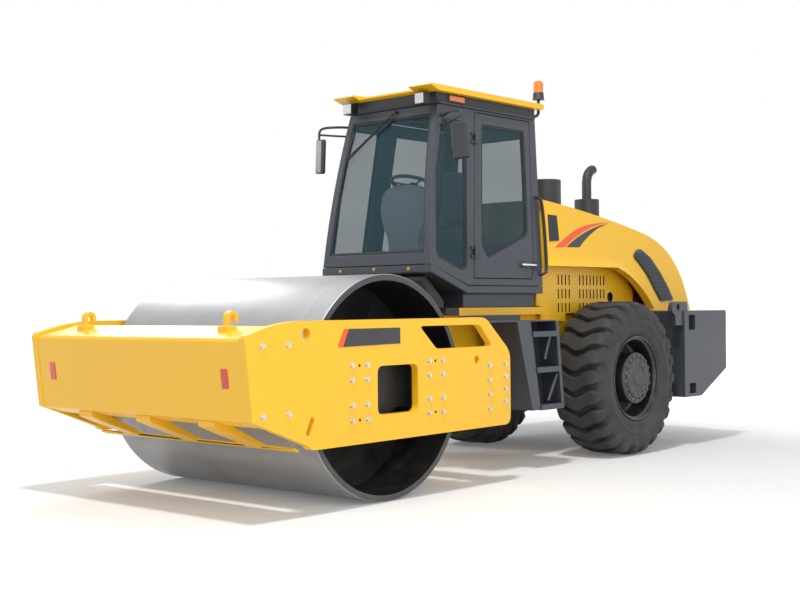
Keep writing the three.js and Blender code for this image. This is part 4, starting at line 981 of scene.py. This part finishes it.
def makeTire(name):
    low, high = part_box(name + "_tire")
    middle = (low + high) / 2
    bm = bmesh.new()
    profile = carcass + [(r, -y) for r, y in reversed(carcass[:-1])]
    addLathe(bm, profile, middle, segments=tireLook["segments"])
    standFor(fromBmesh(name + "_tire_carcass", bm, tireRubber, angle=35), name + "_tire")
    bm = bmesh.new()
    rings = []
    halfReaches = tireLook["reaches"]
    for reach in [-r for r in reversed(halfReaches)] + [0] + list(halfReaches):
        out = abs(reach)
        bend = min(out / tireLook["bendReach"], 1)
        bend = bend * bend * (3 - 2 * bend)
        middleTurn = tireLook["wave"] * (0.5 - bend)
        foot = tireLook["footRadius"] - max(0, out - tireLook["shoulder"]) * tireLook["shoulderFall"]
        top = crownRadius(out)
        taper = 1 - tireLook["taper"] * max(0, (out - tireLook["taperFrom"]) / tireLook["taperRun"])
        ring = []
        for radius, turn in ((foot, -tireLook["lugFoot"]), (top, -tireLook["lugWidth"]),
                             (top, tireLook["lugWidth"]), (foot, tireLook["lugFoot"])):
            angle = middleTurn + turn * taper
            step = Vector((radius * math.sin(angle), reach, radius * math.cos(angle)))
            ring.append(bm.verts.new(middle + step))
        rings.append(ring)
    for a, b in zip(rings, rings[1:]):
        bridge(bm, a, b)
    bm.faces.new(rings[0])
    bm.faces.new(rings[-1])
    lugs = fromBmesh(name + "_tire_lugs", bm, tireRubber, angle=35)
    bevelPiece(lugs, tireLook["ease"], 2, 30)
    runTree(lugs, ringTree, {"Count": tireLook["lugs"], "Centre": middle}, tireRubber)
    standFor(lugs, name + "_tire")


def hexHead(bm, place, radius, height, axis="y", turn=1):
    # a hexagon head with a small washer face, standing out along one axis
    side = "xyz".index(axis)
    for sides, reach, low, high in ((16, radius * 1.3, 0, height * 0.2), (6, radius, height * 0.2, height)):
        ring = []
        for level in (low, high):
            row = []
            for i in range(sides):
                angle = 2 * math.pi * (i + 0.5) / sides
                spot = [reach * math.cos(angle), reach * math.sin(angle)]
                spot.insert(side, level * turn)
                row.append(bm.verts.new(Vector(place) + Vector(spot)))
            ring.append(row)
        bm.faces.new(ring[0])
        bm.faces.new(ring[1])
        for i in range(sides):
            j = (i + 1) % sides
            bm.faces.new((ring[0][i], ring[0][j], ring[1][j], ring[1][i]))


rimLook = {"segments": 96, "hub": 0.232, "nutCircle": 0.203, "nuts": 18, "capCircle": 0.152, "capBolts": 12}


def makeRim(name, side):
    centre = sum(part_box(name + "_tire"), Vector()) / 2
    profile = [(0.096, -0.255), (0.14, -0.255), (0.14, -0.01), (0.345, -0.01), (0.345, -0.212),
               (0.352, -0.220), (0.382, -0.220), (0.385, -0.214), (0.385, 0.196), (0.3885, 0.216),
               (0.384, 0.229), (0.374, 0.232), (0.366, 0.226), (0.363, 0.214), (0.352, 0.210),
               (0.345, 0.198), (0.341, 0.19), (0.338, 0.04),
               (0.32, 0.022), (0.245, 0.02), (0.235, 0.03), (0.231, 0.212), (0.229, 0.222), (0.222, 0.226),
               (0.182, 0.226), (0.179, 0.236), (0.172, 0.241), (0.118, 0.241), (0.114, 0.236), (0.066, 0.236),
               (0.060, 0.241), (0.0, 0.241), (0.0, -0.08), (0.096, -0.08)]
    bm = bmesh.new()
    addLathe(bm, [(r, side * y) for r, y in profile], centre, segments=rimLook["segments"])
    rim = fromBmesh(name + "_rim_steel", bm, rimPaint, angle=30)
    rim.data.materials.append(hubPaint)
    for polygon in rim.data.polygons:
        reach = math.hypot(polygon.center.x - centre.x, polygon.center.z - centre.z)
        polygon.material_index = 1 if reach < rimLook["hub"] else 0
    standFor(rim, name + "_rim")
    for label, circle, count, face, radius in (
            ("nuts", rimLook["nutCircle"], rimLook["nuts"], 0.226, 0.013),
            ("cap_bolts", rimLook["capCircle"], rimLook["capBolts"], 0.241, 0.010)):
        bm = bmesh.new()
        place = centre + Vector((circle, side * face, 0))
        hexHead(bm, place, radius, radius * 1.1, turn=side)
        ring = fromBmesh(f"{name}_rim_{label}", bm, boltPaint, smooth=False)
        runTree(ring, ringTree, {"Count": count, "Centre": centre, "Phase": 0.1}, boltPaint)
        trim(ring, name + "_wheel")


for name, side in sides:
    makeTire(name)
    makeRim(name, side)
print("drum, tires and rims done")


# side plates: silver bolts in their patterns, small plugged holes, and a blank name plate
plateLook = {"boltHead": 0.0155, "plugRadius": 0.010,
             "corner": ((1.271, 1.049), (1.128, 0.687)),
             "middle": ((0.465, 0.315, -0.336, -0.487), (0.975, 0.876, 0.705, 0.604)),
             "rearInner": ((-1.040,), (0.918, 0.808, 0.698, 0.587)),
             "rearOuter": ((-1.238,), (0.918, 0.824, 0.730, 0.635)),
             "namePlate": ((-0.023, 1.111), (-0.023, 1.222), (0.492, 1.222), (0.548, 1.102)),
             "slash": ((0.553, 1.101), (0.497, 1.222), (0.538, 1.222), (0.600, 1.102)),
             "plugs": ((0.392, 0.973), (0.392, 0.605), (-0.403, 0.975), (-0.402, 0.606))}


def makePlateTrim(name, side):
    face = side * plateFace
    facing = "+y" if side > 0 else "-y"
    points = []
    for pattern in ("corner", "middle", "rearInner", "rearOuter"):
        across, up = plateLook[pattern]
        points += [(drumAxle.x + x, face, z) for x in across for z in up]
    bolts(name + "_plate_bolts", points, facing, plateLook["boltHead"], "drum_frame")
    bm = bmesh.new()
    for x, z in plateLook["plugs"]:
        addLathe(bm, [(0, 0), (plateLook["plugRadius"], 0), (plateLook["plugRadius"], side * 0.0012),
                      (0, side * 0.0012)], (drumAxle.x + x, face, z), segments=20)
    trim(fromBmesh(name + "_plate_plugs", bm, sealRubber, angle=30), "drum_frame")
    for label, key, material in (("", "namePlate", darkMark), ("_slash", "slash", orangeMark)):
        bm = bmesh.new()
        addPrism(bm, [(drumAxle.x + x, z) for x, z in plateLook[key]], "y", face, face + side * 0.003)
        mark = fromBmesh(name + "_name_plate" + label, bm, material, smooth=False)
        trim(mark, "drum_frame")


for name, side in sides:
    makePlateTrim(name, side)


# front beam: two red reflectors on its sloping face
beamLook = {"slope": 55 / 495, "low": (1.350, 0.655), "reflectorY": 0.955, "reflectorZ": 0.923,
            "width": 0.062, "height": 0.125}


def makeReflectors():
    look = beamLook
    for name, side in sides:
        z0, z1 = look["reflectorZ"] - look["height"] / 2, look["reflectorZ"] + look["height"] / 2
        middle = side * look["reflectorY"]
        bm = bmesh.new()

        def faceX(z):
            return drumAxle.x + look["low"][0] + (z - look["low"][1]) * look["slope"]
        outline = [(faceX(z0), z0), (faceX(z0) + 0.006, z0), (faceX(z1) + 0.006, z1), (faceX(z1), z1)]
        addPrism(bm, outline, "y", middle - look["width"] / 2, middle + look["width"] / 2)
        reflector = fromBmesh(name + "_front_reflector", bm, redLens, angle=30)
        bevelPiece(reflector, 0.002, 2, 30)
        trim(reflector, "drum_frame")


makeReflectors()
print("drum frame trim done")


# cab: rubber seals round every pane
cabLook = {"sealIn": 0.022, "sealOut": 0.013, "sealLow": -0.001, "sealHigh": 0.009}
panes = {"left_door_window": ("left_door", (0, 1, 0)), "right_door_window": ("right_door", (0, -1, 0)),
         "left_quarter_window": ("rear_frame", (0, 1, 0)), "right_quarter_window": ("rear_frame", (0, -1, 0)),
         "windshield": ("rear_frame", (1, 0, 0)), "rear_window": ("rear_frame", (-1, 0, 0))}
for node, (body, way) in panes.items():
    seal = sealRing(node + "_seal", paneEdge(node, way), cabLook["sealIn"], cabLook["sealOut"],
                    cabLook["sealLow"], cabLook["sealHigh"], sealRubber)
    trim(seal, body)


cabWall = {"halfWidth": 0.599, "foot": 1.702, "lean": 0.0829}


def cabSideY(z):
    # half width of the leaning cab side at a height
    return cabWall["halfWidth"] - (z - cabWall["foot"]) * cabWall["lean"]


sideLook = {"gutter": ((-1.30, 3.020), (-2.615, 3.020), (-2.615, 3.034), (-1.30, 3.034)),
            "lamp": (-1.429, -1.626, 3.049, 3.101), "handle": (-2.265, -2.465, 1.720)}


def makeCabSideTrim(name, side):
    x0 = drumAxle.x
    wall = cabSideY(3.02)
    bm = bmesh.new()
    addPrism(bm, [(x0 + x, z) for x, z in sideLook["gutter"]], "y",
             side * (wall - 0.002), side * (wall + 0.020))
    gutter = fromBmesh(name + "_gutter", bm, darkPaint, angle=30)
    bevelPiece(gutter, 0.003)
    trim(gutter, "rear_frame")
    front, rear, low, high = sideLook["lamp"]
    outlines = ((0.008, 0.006, cabPlastic, "base"), (-0.004, 0.018, amberLens, "lens"))
    for grow, depth, material, label in outlines:
        bm = bmesh.new()
        addPrism(bm, [(x0 + front + grow, low - grow), (x0 + rear - grow, low - grow),
                      (x0 + rear - grow, high + grow), (x0 + front + grow, high + grow)], "y",
                 side * (wall - 0.001), side * (wall + depth))
        lamp = fromBmesh(f"{name}_side_lamp_{label}", bm, material, angle=40)
        bevelPiece(lamp, 0.005, 3)
        trim(lamp, "rear_frame")


def makeDoorHandle(name, side):
    front, rear, z = sideLook["handle"]
    x0 = drumAxle.x
    y = cabSideY(z)
    bm = bmesh.new()
    addTube(bm, [(x0 + front, side * (y + 0.004), z), (x0 + front - 0.012, side * (y + 0.030), z),
                 (x0 + rear + 0.04, side * (y + 0.032), z - 0.002),
                 (x0 + rear, side * (y + 0.012), z - 0.004)], 0.011)
    trim(fromBmesh(name + "_door_handle", bm, chromeRod, angle=50), name + "_door")
    bm = bmesh.new()
    addBox(bm, (x0 + rear - 0.03, min(side * (y - 0.001), side * (y + 0.008)), z - 0.04),
           (x0 + rear + 0.05, max(side * (y - 0.001), side * (y + 0.008)), z + 0.03))
    lock = fromBmesh(name + "_door_lock", bm, cabPlastic, angle=40)
    bevelPiece(lock, 0.003)
    trim(lock, name + "_door")


for name, side in sides:
    makeCabSideTrim(name, side)
    makeDoorHandle(name, side)


# work lamps, mirrors and beacon
lampLook = {"rim": 0.006, "lens": 0.005}
mirrorLook = {"place": (-1.215, 0.785, 2.684), "size": (0.045, 0.140, 0.300), "turn": 20, "lean": 5,
              "round": 0.019, "upper": 0.011, "lower": 0.009, "upperZ": 2.926, "lowerZ": 2.848}
beaconLook = {"base": 0.050, "lens": 0.045, "foot": 3.212, "neck": 3.276, "top": 3.380}


def makeWorkLampLens(name):
    low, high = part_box(name + "_work_lamp")
    rim = lampLook["rim"]
    bm = bmesh.new()
    addBox(bm, (high[0] - 0.002, low[1] + rim, low[2] + rim),
           (high[0] + lampLook["lens"], high[1] - rim, 3.100 - rim))
    lens = fromBmesh(name + "_work_lamp_lens", bm, clearLens, angle=40)
    bevelPiece(lens, 0.004, 2)
    trim(lens, "rear_frame")


def makeMirror(name, side):
    look = mirrorLook
    x0 = drumAxle.x
    turn = (Matrix.Translation(Vector(look["place"]) + Vector((x0, 0, 0)))
            @ Matrix.Rotation(math.radians(look["turn"]), 4, "Z")
            @ Matrix.Rotation(math.radians(look["lean"]), 4, "X"))
    half = Vector(look["size"]) / 2

    def placed(bm):
        for vert in bm.verts:
            vert.co = turn @ vert.co
            vert.co.y *= side
        return bm

    bm = bmesh.new()
    addBox(bm, -half, half)
    head = fromBmesh(name + "_mirror_head", placed(bm), castBlack, angle=60)
    bevelPiece(head, look["round"], 6)
    standFor(head, name + "_mirror")
    inset = look["round"] * 0.9
    bm = bmesh.new()
    addBox(bm, (-half.x - 0.0015, -half.y + inset, -half.z + inset),
           (-half.x + 0.004, half.y - inset, half.z - inset))
    glassFace = fromBmesh(name + "_mirror_glass", placed(bm), mirrorFace, angle=40)
    bevelPiece(glassFace, 0.0008, 1)
    trim(glassFace, "rear_frame")
    x = look["place"][0]
    upperZ, lowerZ = look["upperZ"], look["lowerZ"]
    high, low = cabSideY(upperZ), cabSideY(lowerZ)
    bm = bmesh.new()
    for radius, path in (
            (look["upper"], [(x - 0.115, high + 0.002, upperZ), (x - 0.115, high + 0.040, upperZ),
                             (x - 0.050, 0.620, 2.930), (x, 0.740, 2.928), (x, 0.797, 2.900),
                             (x, 0.800, 2.820)]),
            (look["lower"], [(x - 0.115, low + 0.002, lowerZ), (x - 0.115, low + 0.040, lowerZ),
                             (x - 0.045, 0.640, 2.856), (x, 0.795, 2.876)])):
        addTube(bm, [(x0 + px, side * py, pz) for px, py, pz in path], radius)
    for spot in (upperZ, lowerZ):
        wall = cabSideY(spot)
        addLathe(bm, [(0, 0), (0.020, 0), (0.020, side * 0.008), (0, side * 0.008)],
                 (x0 + x - 0.115, side * (wall - 0.001), spot), segments=24)
    standFor(fromBmesh(name + "_mirror_arm", bm, castBlack, angle=40), name + "_mirror")


def makeBeacon():
    look = beaconLook
    centre = (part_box("beacon")[0][0] + look["lens"] + 0.003, 0.470, 0)
    bm = bmesh.new()
    r = look["lens"]
    profile = [(0, look["neck"]), (r, look["neck"])]
    for i in range(9):
        z = look["neck"] + 0.006 + i * 0.0095
        profile += [(r, z), (r - 0.002, z + 0.0045)]
    profile += [(r - 0.004, look["top"] - 0.008), (r - 0.012, look["top"] - 0.001), (0, look["top"])]
    addLathe(bm, profile, centre, axis="z", segments=48)
    standFor(fromBmesh("beacon_lens", bm, amberLens, angle=50), "beacon")
    bm = bmesh.new()
    b = look["base"]
    foot, neck = look["foot"], look["neck"]
    addLathe(bm, [(0, foot), (b + 0.004, foot), (b + 0.004, foot + 0.006), (b, foot + 0.012),
                  (b - 0.002, neck - 0.004), (b - 0.006, neck + 0.001), (0, neck + 0.001)],
             centre, axis="z", segments=48)
    path = [(-0.7940, 3.060), (-0.840, 3.060), (-0.8775, 3.088), (centre[0], 3.150),
            (centre[0], foot + 0.004)]
    addTube(bm, [(x, centre[1], z) for x, z in path], 0.014)
    standFor(fromBmesh("beacon_base", bm, castBlack, angle=40), "beacon", slot="black_paint")


for name, side in sides:
    makeWorkLampLens(name)
    makeMirror(name, side)
makeBeacon()
print("cab outside done")


# hood: generic stripes, small mesh grille with painted shade in its holes, and the curved rear grille's slats
# with painted shade in the gaps between them
hoodLook = {"slats": 24, "slatDepth": 0.006}
hoodSurface = treeOf(skins["hood"])


def sweep(points, count=6):
    # a smooth outline, as (x, z) pairs from the drum axle
    xs, zs = [smoothPath(row, count) for row in zip(*points)]
    return [(drumAxle.x + x, z) for x, z in zip(xs, zs)]


stripeLook = {"redTop": ((-2.763, 1.883), (-2.854, 1.931), (-2.979, 1.996), (-3.146, 2.066), (-3.313, 2.108),
                         (-3.481, 2.133), (-3.672, 2.146)),
              "redLow": ((-3.672, 2.146), (-3.457, 2.109), (-3.286, 2.060), (-3.095, 1.984), (-2.926, 1.892)),
              "darkTop": ((-2.946, 1.893), (-3.106, 1.975), (-3.295, 2.049), (-3.466, 2.098),
                          (-3.669, 2.140)),
              "darkLow": ((-3.669, 2.140), (-3.480, 2.082), (-3.350, 2.022), (-3.235, 1.955),
                          (-3.150, 1.895))}


def makeHoodStripes(name, side):
    for label, material in (("red", orangeMark), ("dark", darkMark)):
        outline = sweep(stripeLook[label + "Top"]) + sweep(stripeLook[label + "Low"])[1:]
        stripe = layOn(f"{name}_stripe_{label}", outline, hoodSurface, side, material, lift=0.0012, cell=0.06)
        trim(stripe, "hood")


meshLook = {"corners": ((-2.697, 2.176), (-2.829, 2.173), (-2.837, 1.948), (-2.691, 1.937)),
            "rows": 10, "columns": 6}


def makeMeshGrille(name, side):
    x0 = drumAxle.x
    outline = [(x0 + x, z) for x, z in meshLook["corners"]]
    panel = layOn(name + "_mesh_grille", outline, hoodSurface, side, castBlack, lift=0.006, cell=0.05)
    trim(panel, "hood")
    bm = bmesh.new()
    # dark squares over the panel: painted shade in the mesh's holes
    a, b, c, d = [Vector((x, z)) for x, z in outline]
    for i in range(meshLook["rows"]):
        for j in range(meshLook["columns"]):
            u, v = (j + 0.5) / meshLook["columns"], (i + 0.5) / meshLook["rows"]
            spot = (a.lerp(b, u)).lerp(d.lerp(c, u), v)
            hit, _, _, _ = hoodSurface.ray_cast(Vector((spot.x, side * 2, spot.y)), Vector((0, -side, 0)))
            y = hit.y + side * 0.006
            size = (0.0065, 0.0075)
            addBox(bm, (spot.x - size[0], min(y - side * 0.002, y + side * 0.0012), spot.y - size[1]),
                   (spot.x + size[0], max(y - side * 0.002, y + side * 0.0012), spot.y + size[1]))
    trim(fromBmesh(name + "_mesh_hole_shade", bm, sealRubber, smooth=False), "hood")


def spanAt(node, z):
    # where a thin panel starts and ends along x at one height
    bm = bmesh.new()
    bm.from_mesh(nodes[node].data)
    cut = splitAt(bm, (0, 0, z), (0, 0, 1))
    spots = [g.co.copy() for g in cut["geom_cut"] if isinstance(g, bmesh.types.BMVert)]
    bm.free()
    return spots


def makeRearGrille(name, side):
    node = name + "_side_grille"
    low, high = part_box(node)
    skins[node] = standFor(softCopy(node, darkPaint, 0.001), node)
    bm = bmesh.new()
    # dark strips just under each slat: painted shade in the grille's gaps
    gapShade = bmesh.new()
    for i in range(hoodLook["slats"]):
        z = low[2] + 0.035 + (high[2] - low[2] - 0.075) * i / (hoodLook["slats"] - 1)
        spots = spanAt(node, z)
        front = max(v.x for v in spots) - 0.022
        rear = min(v.x for v in spots) + 0.022
        if front - rear < 0.03:
            continue
        y = max(side * v.y for v in spots)
        for mesh, drop, depth, half in ((bm, 0.0, hoodLook["slatDepth"], 0.0035),
                                        (gapShade, -0.0105, 0.0008, 0.0055)):
            addBox(mesh, (rear, min(side * (y - 0.004), side * (y + depth)), z + drop - half),
                   (front, max(side * (y - 0.004), side * (y + depth)), z + drop + half))
    trim(fromBmesh(name + "_grille_slats", bm, darkPaint, smooth=False), "hood")
    trim(fromBmesh(name + "_grille_gap_shade", gapShade, sealRubber, smooth=False), "hood")


for name, side in sides:
    makeHoodStripes(name, side)
    makeMeshGrille(name, side)
    makeRearGrille(name, side)


# engine side panels: rows of upright slots, cut through; painted shade in the slots: black slot walls and a
# black sheet behind them
slotLook = {"low": 1.303, "high": 1.660,
            "sheet": ((-2.92, 1.31), (-3.90, 1.31), (-3.90, 1.62), (-3.84, 1.67), (-2.92, 1.67)),
            "groups": ((-2.963, 4), (-3.312, 8)), "pitch": -0.0586, "width": 0.018,
            "rows": ((1.645, 1.552), (1.515, 1.429), (1.388, 1.305)), "hole": (-3.830, 1.440, 0.050)}


def slotBlock(place, size, count, step):
    bm = bmesh.new()
    addBox(bm, [p - s / 2 for p, s in zip(place, size)], [p + s / 2 for p, s in zip(place, size)])
    block = fromBmesh("slot_block", bm, blackPaint, smooth=False)
    return runTree(block, rowTree, {"Count": count, "Step": (step, 0, 0)}, blackPaint)


def cutSlots(name, side):
    panel = skins[name + "_side_panel"]
    y = side * 0.490
    for start, count in slotLook["groups"]:
        for top, bottom in slotLook["rows"]:
            place = (drumAxle.x + start, y, (top + bottom) / 2)
            size = (slotLook["width"], 0.06, top - bottom)
            cutWith(panel, slotBlock(place, size, count, slotLook["pitch"]))
    x, z, radius = slotLook["hole"]
    bm = bmesh.new()
    addLathe(bm, [(0, -0.04), (radius, -0.04), (radius, 0.04), (0, 0.04)],
             (drumAxle.x + x, y, z), segments=32)
    cutWith(panel, fromBmesh("panel_hole", bm, blackPaint, smooth=False))
    panel.data.materials.clear()
    panel.data.materials.append(yellowPaint)
    panel.data.materials.append(blackPaint)
    # the slot walls take black paint: painted shade inside the slots
    across = [drumAxle.x + x for x, _ in slotLook["sheet"]]
    for polygon in panel.data.polygons:
        shadedSlotWalls = abs(polygon.normal.y) < 0.5 and min(across) < polygon.center.x < max(across)
        polygon.material_index = 1 if shadedSlotWalls and slotLook["low"] < polygon.center.z < slotLook["high"] else 0
        polygon.use_smooth = False


for name, side in sides:
    cutSlots(name, side)
    # a thin black sheet behind the slots: painted shade of the bay seen through them
    bm = bmesh.new()
    addPrism(bm, [(drumAxle.x + x, z) for x, z in slotLook["sheet"]], "y", side * 0.470, side * 0.474)
    trim(fromBmesh(name + "_slot_shade_sheet", bm, blackPaint, smooth=False), "rear_frame")
print("hood and engine bay done")


# seat: pads swollen by a short cloth run over a plain pedestal
seatLook = {"voxel": 0.006, "pressure": 4.0, "frames": 20, "cap": 0.024,
            "baseX": -2.050, "baseTop": 1.860, "bellowRings": 7, "bellowPitch": 0.040,
            "cushion": ((-0.455, -0.228, 1.925), (0.018, 0.228, 2.010)),
            "back": ((-0.330, -0.205, 2.050), (-0.250, 0.205, 2.585)), "lean": 8.2}


def swell(piece):
    remesh = piece.modifiers.new("remesh", "REMESH")
    remesh.mode = "VOXEL"
    remesh.voxel_size = seatLook["voxel"]
    applyModifiers(piece)
    before = [vert.co.copy() for vert in piece.data.vertices]
    cloth = piece.modifiers.new("cloth", "CLOTH")
    cloth.settings.use_pressure = True
    cloth.settings.uniform_pressure_force = seatLook["pressure"]
    cloth.settings.effector_weights.gravity = 0
    cloth.point_cache.frame_end = seatLook["frames"]
    for step in range(1, seatLook["frames"] + 1):
        bpy.context.scene.frame_set(step)
    applyModifiers(piece)
    bpy.context.scene.frame_set(1)
    for vert, start in zip(piece.data.vertices, before):
        move = vert.co - start
        if move.length > seatLook["cap"]:
            vert.co = start + move.normalized() * seatLook["cap"]


def makePad(name, low, high, lean):
    bm = bmesh.new()
    addBox(bm, low, high)
    if lean:
        middle = Vector(((low[0] + high[0]) / 2, 0, low[2]))
        turn = Matrix.Rotation(math.radians(-lean), 3, "Y")
        for vert in bm.verts:
            vert.co = middle + turn @ (vert.co - middle)
    pad = fromBmesh(name, bm, seatCloth, angle=180)
    bevelPiece(pad, 0.03, 4)
    swell(pad)
    for polygon in pad.data.polygons:
        polygon.use_smooth = True
    standFor(pad, "seat")
    return pad


def makeSeat():
    look = seatLook
    makePad("seat_cushion", *look["cushion"], 0)
    makePad("seat_backrest", *look["back"], look["lean"])
    x = drumAxle.x + look["baseX"]
    top = look["baseTop"]
    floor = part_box("seat")[0][2] + 0.002
    bm = bmesh.new()
    addBox(bm, (x - 0.200, -0.200, floor), (x + 0.200, 0.200, floor + 0.030))
    addBox(bm, (x - 0.170, -0.160, floor + 0.028), (x + 0.170, 0.160, top))
    addBox(bm, (x - 0.230, -0.215, top - 0.002), (x + 0.225, 0.215, top + 0.038))
    for ring in range(look["bellowRings"]):
        low = floor + 0.050 + ring * look["bellowPitch"]
        addBox(bm, (x - 0.182, -0.172, low), (x + 0.182, 0.172, low + look["bellowPitch"] / 2))
    base = fromBmesh("seat_pedestal", bm, cabPlastic, angle=40)
    bevelPiece(base, 0.004)
    standFor(base, "seat", slot="cab_plastic")


wheelLook = {"x": -1.540, "z": 2.385, "lean": -0.35, "radius": 0.190, "grip": 0.0155, "rise": 0.020}


def makeWheelAndPod():
    look = wheelLook
    place = Vector((drumAxle.x + look["x"], 0, look["z"]))
    lean = Vector((0, 0, 1)).rotation_difference(Vector((look["lean"], 0, 1)).normalized()).to_matrix()
    bm = bmesh.new()
    ring = [(look["radius"] + look["grip"] * math.cos(a), look["rise"] + look["grip"] * math.sin(a))
            for a in (i * math.pi / 6 for i in range(12))]
    addLathe(bm, ring, (0, 0, 0), axis="z", segments=72)
    addLathe(bm, [(0, 0.001), (0.026, 0.001), (0.039, 0.012), (0.036, 0.030), (0.020, 0.035), (0, 0.035)],
             (0, 0, 0), axis="z", segments=36)
    for spoke in range(3):
        angle = spoke * math.tau / 3 + math.pi
        way = Vector((math.cos(angle), math.sin(angle), 0))
        addTube(bm, [way * 0.030 + Vector((0, 0, 0.016)), way * 0.110 + Vector((0, 0, 0.014)),
                     way * 0.182 + Vector((0, 0, 0.020))], 0.009)
    for vert in bm.verts:
        vert.co = place + lean @ vert.co
    standFor(fromBmesh("steering_wheel_skin", bm, castBlack, angle=50), "steering_wheel")
    pod = softCopy("console", greyTrim, 0.014, 30)
    standFor(pod, "console")
    bm = bmesh.new()
    rear = drumAxle.x - 1.492
    addPrism(bm, [(-0.190, 2.225), (0.190, 2.225), (0.165, 2.345), (-0.165, 2.345)], "x",
             rear - 0.002, rear + 0.004)
    panel = fromBmesh("console_panel", bm, cabPlastic, angle=40)
    bevelPiece(panel, 0.001)
    trim(panel, "rear_frame")


wiperLook = {"arm": ((0.020, 2.925), (-0.200, 2.790), (-0.455, 2.585)), "clear": 0.022, "radius": 0.006}


def makeWiperArm():
    look = wiperLook
    glass = treeOf(nodes["windshield"])
    points = []
    for y, z in look["arm"]:
        hit, _, _, _ = glass.ray_cast(Vector((3, y, z)), Vector((-1, 0, 0)))
        points.append(Vector((hit.x + look["clear"], y, z)))
    bm = bmesh.new()
    addTube(bm, points, look["radius"], steps=3)
    trim(fromBmesh("wiper_second_arm", bm, castBlack, angle=50), "rear_frame")


makeSeat()
makeWheelAndPod()
makeWiperArm()
print("cab inside done")


# frame trim: brass bolts at the cab's foot, rods on the steps, latches and lamps at the back
def slab(name, outline, axis, low, high, material, body, width=0.003):
    bm = bmesh.new()
    addPrism(bm, outline, axis, low, high)
    piece = fromBmesh(name, bm, material, angle=40)
    if width:
        bevelPiece(piece, width)
    return trim(piece, body)


def makeStepRods(name, side):
    bm = bmesh.new()
    for start, end in frameLook["rods"]:
        addTube(bm, [(drumAxle.x + x, side * 0.946, z) for x, z in (start, end)], 0.012, steps=1)
    trim(fromBmesh(name + "_step_rods", bm, darkPaint, angle=50), "rear_frame")


def makeRearTrim(name, side):
    x0 = drumAxle.x
    outer = max(abs(edge[1]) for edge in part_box("counterweight"))
    slab(name + "_weight_latch", [(x0 + x, z) for x, z in frameLook["latch"]], "y", side * (outer - 0.012),
         side * (outer - 0.001), blackPaint, "rear_frame")
    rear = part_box("counterweight")[0][0]
    front, back, low, high = frameLook["tail"]
    lamp = [(side * front, low), (side * back, low), (side * back, high), (side * front, high)]
    slab(name + "_tail_lamp", lamp, "x", rear - 0.0005, rear + 0.020, redLens, "rear_frame",
         0.006)


for name, side in sides:
    makeStepRods(name, side)
    makeRearTrim(name, side)
cabFoot = [(drumAxle.x - frameLook["cabFoot"], y, z) for y, z in frameLook["cabBolts"]]
bolts("cab_foot_bolts", cabFoot, "+x", 0.011, "rear_frame", brassBolt)
print("frame trim done")


def corners(bounds):
    return [[round(float(v), 5) for v in corner] for corner in bounds]


{"cad": corners(cadBounds), "visual": corners(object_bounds())}
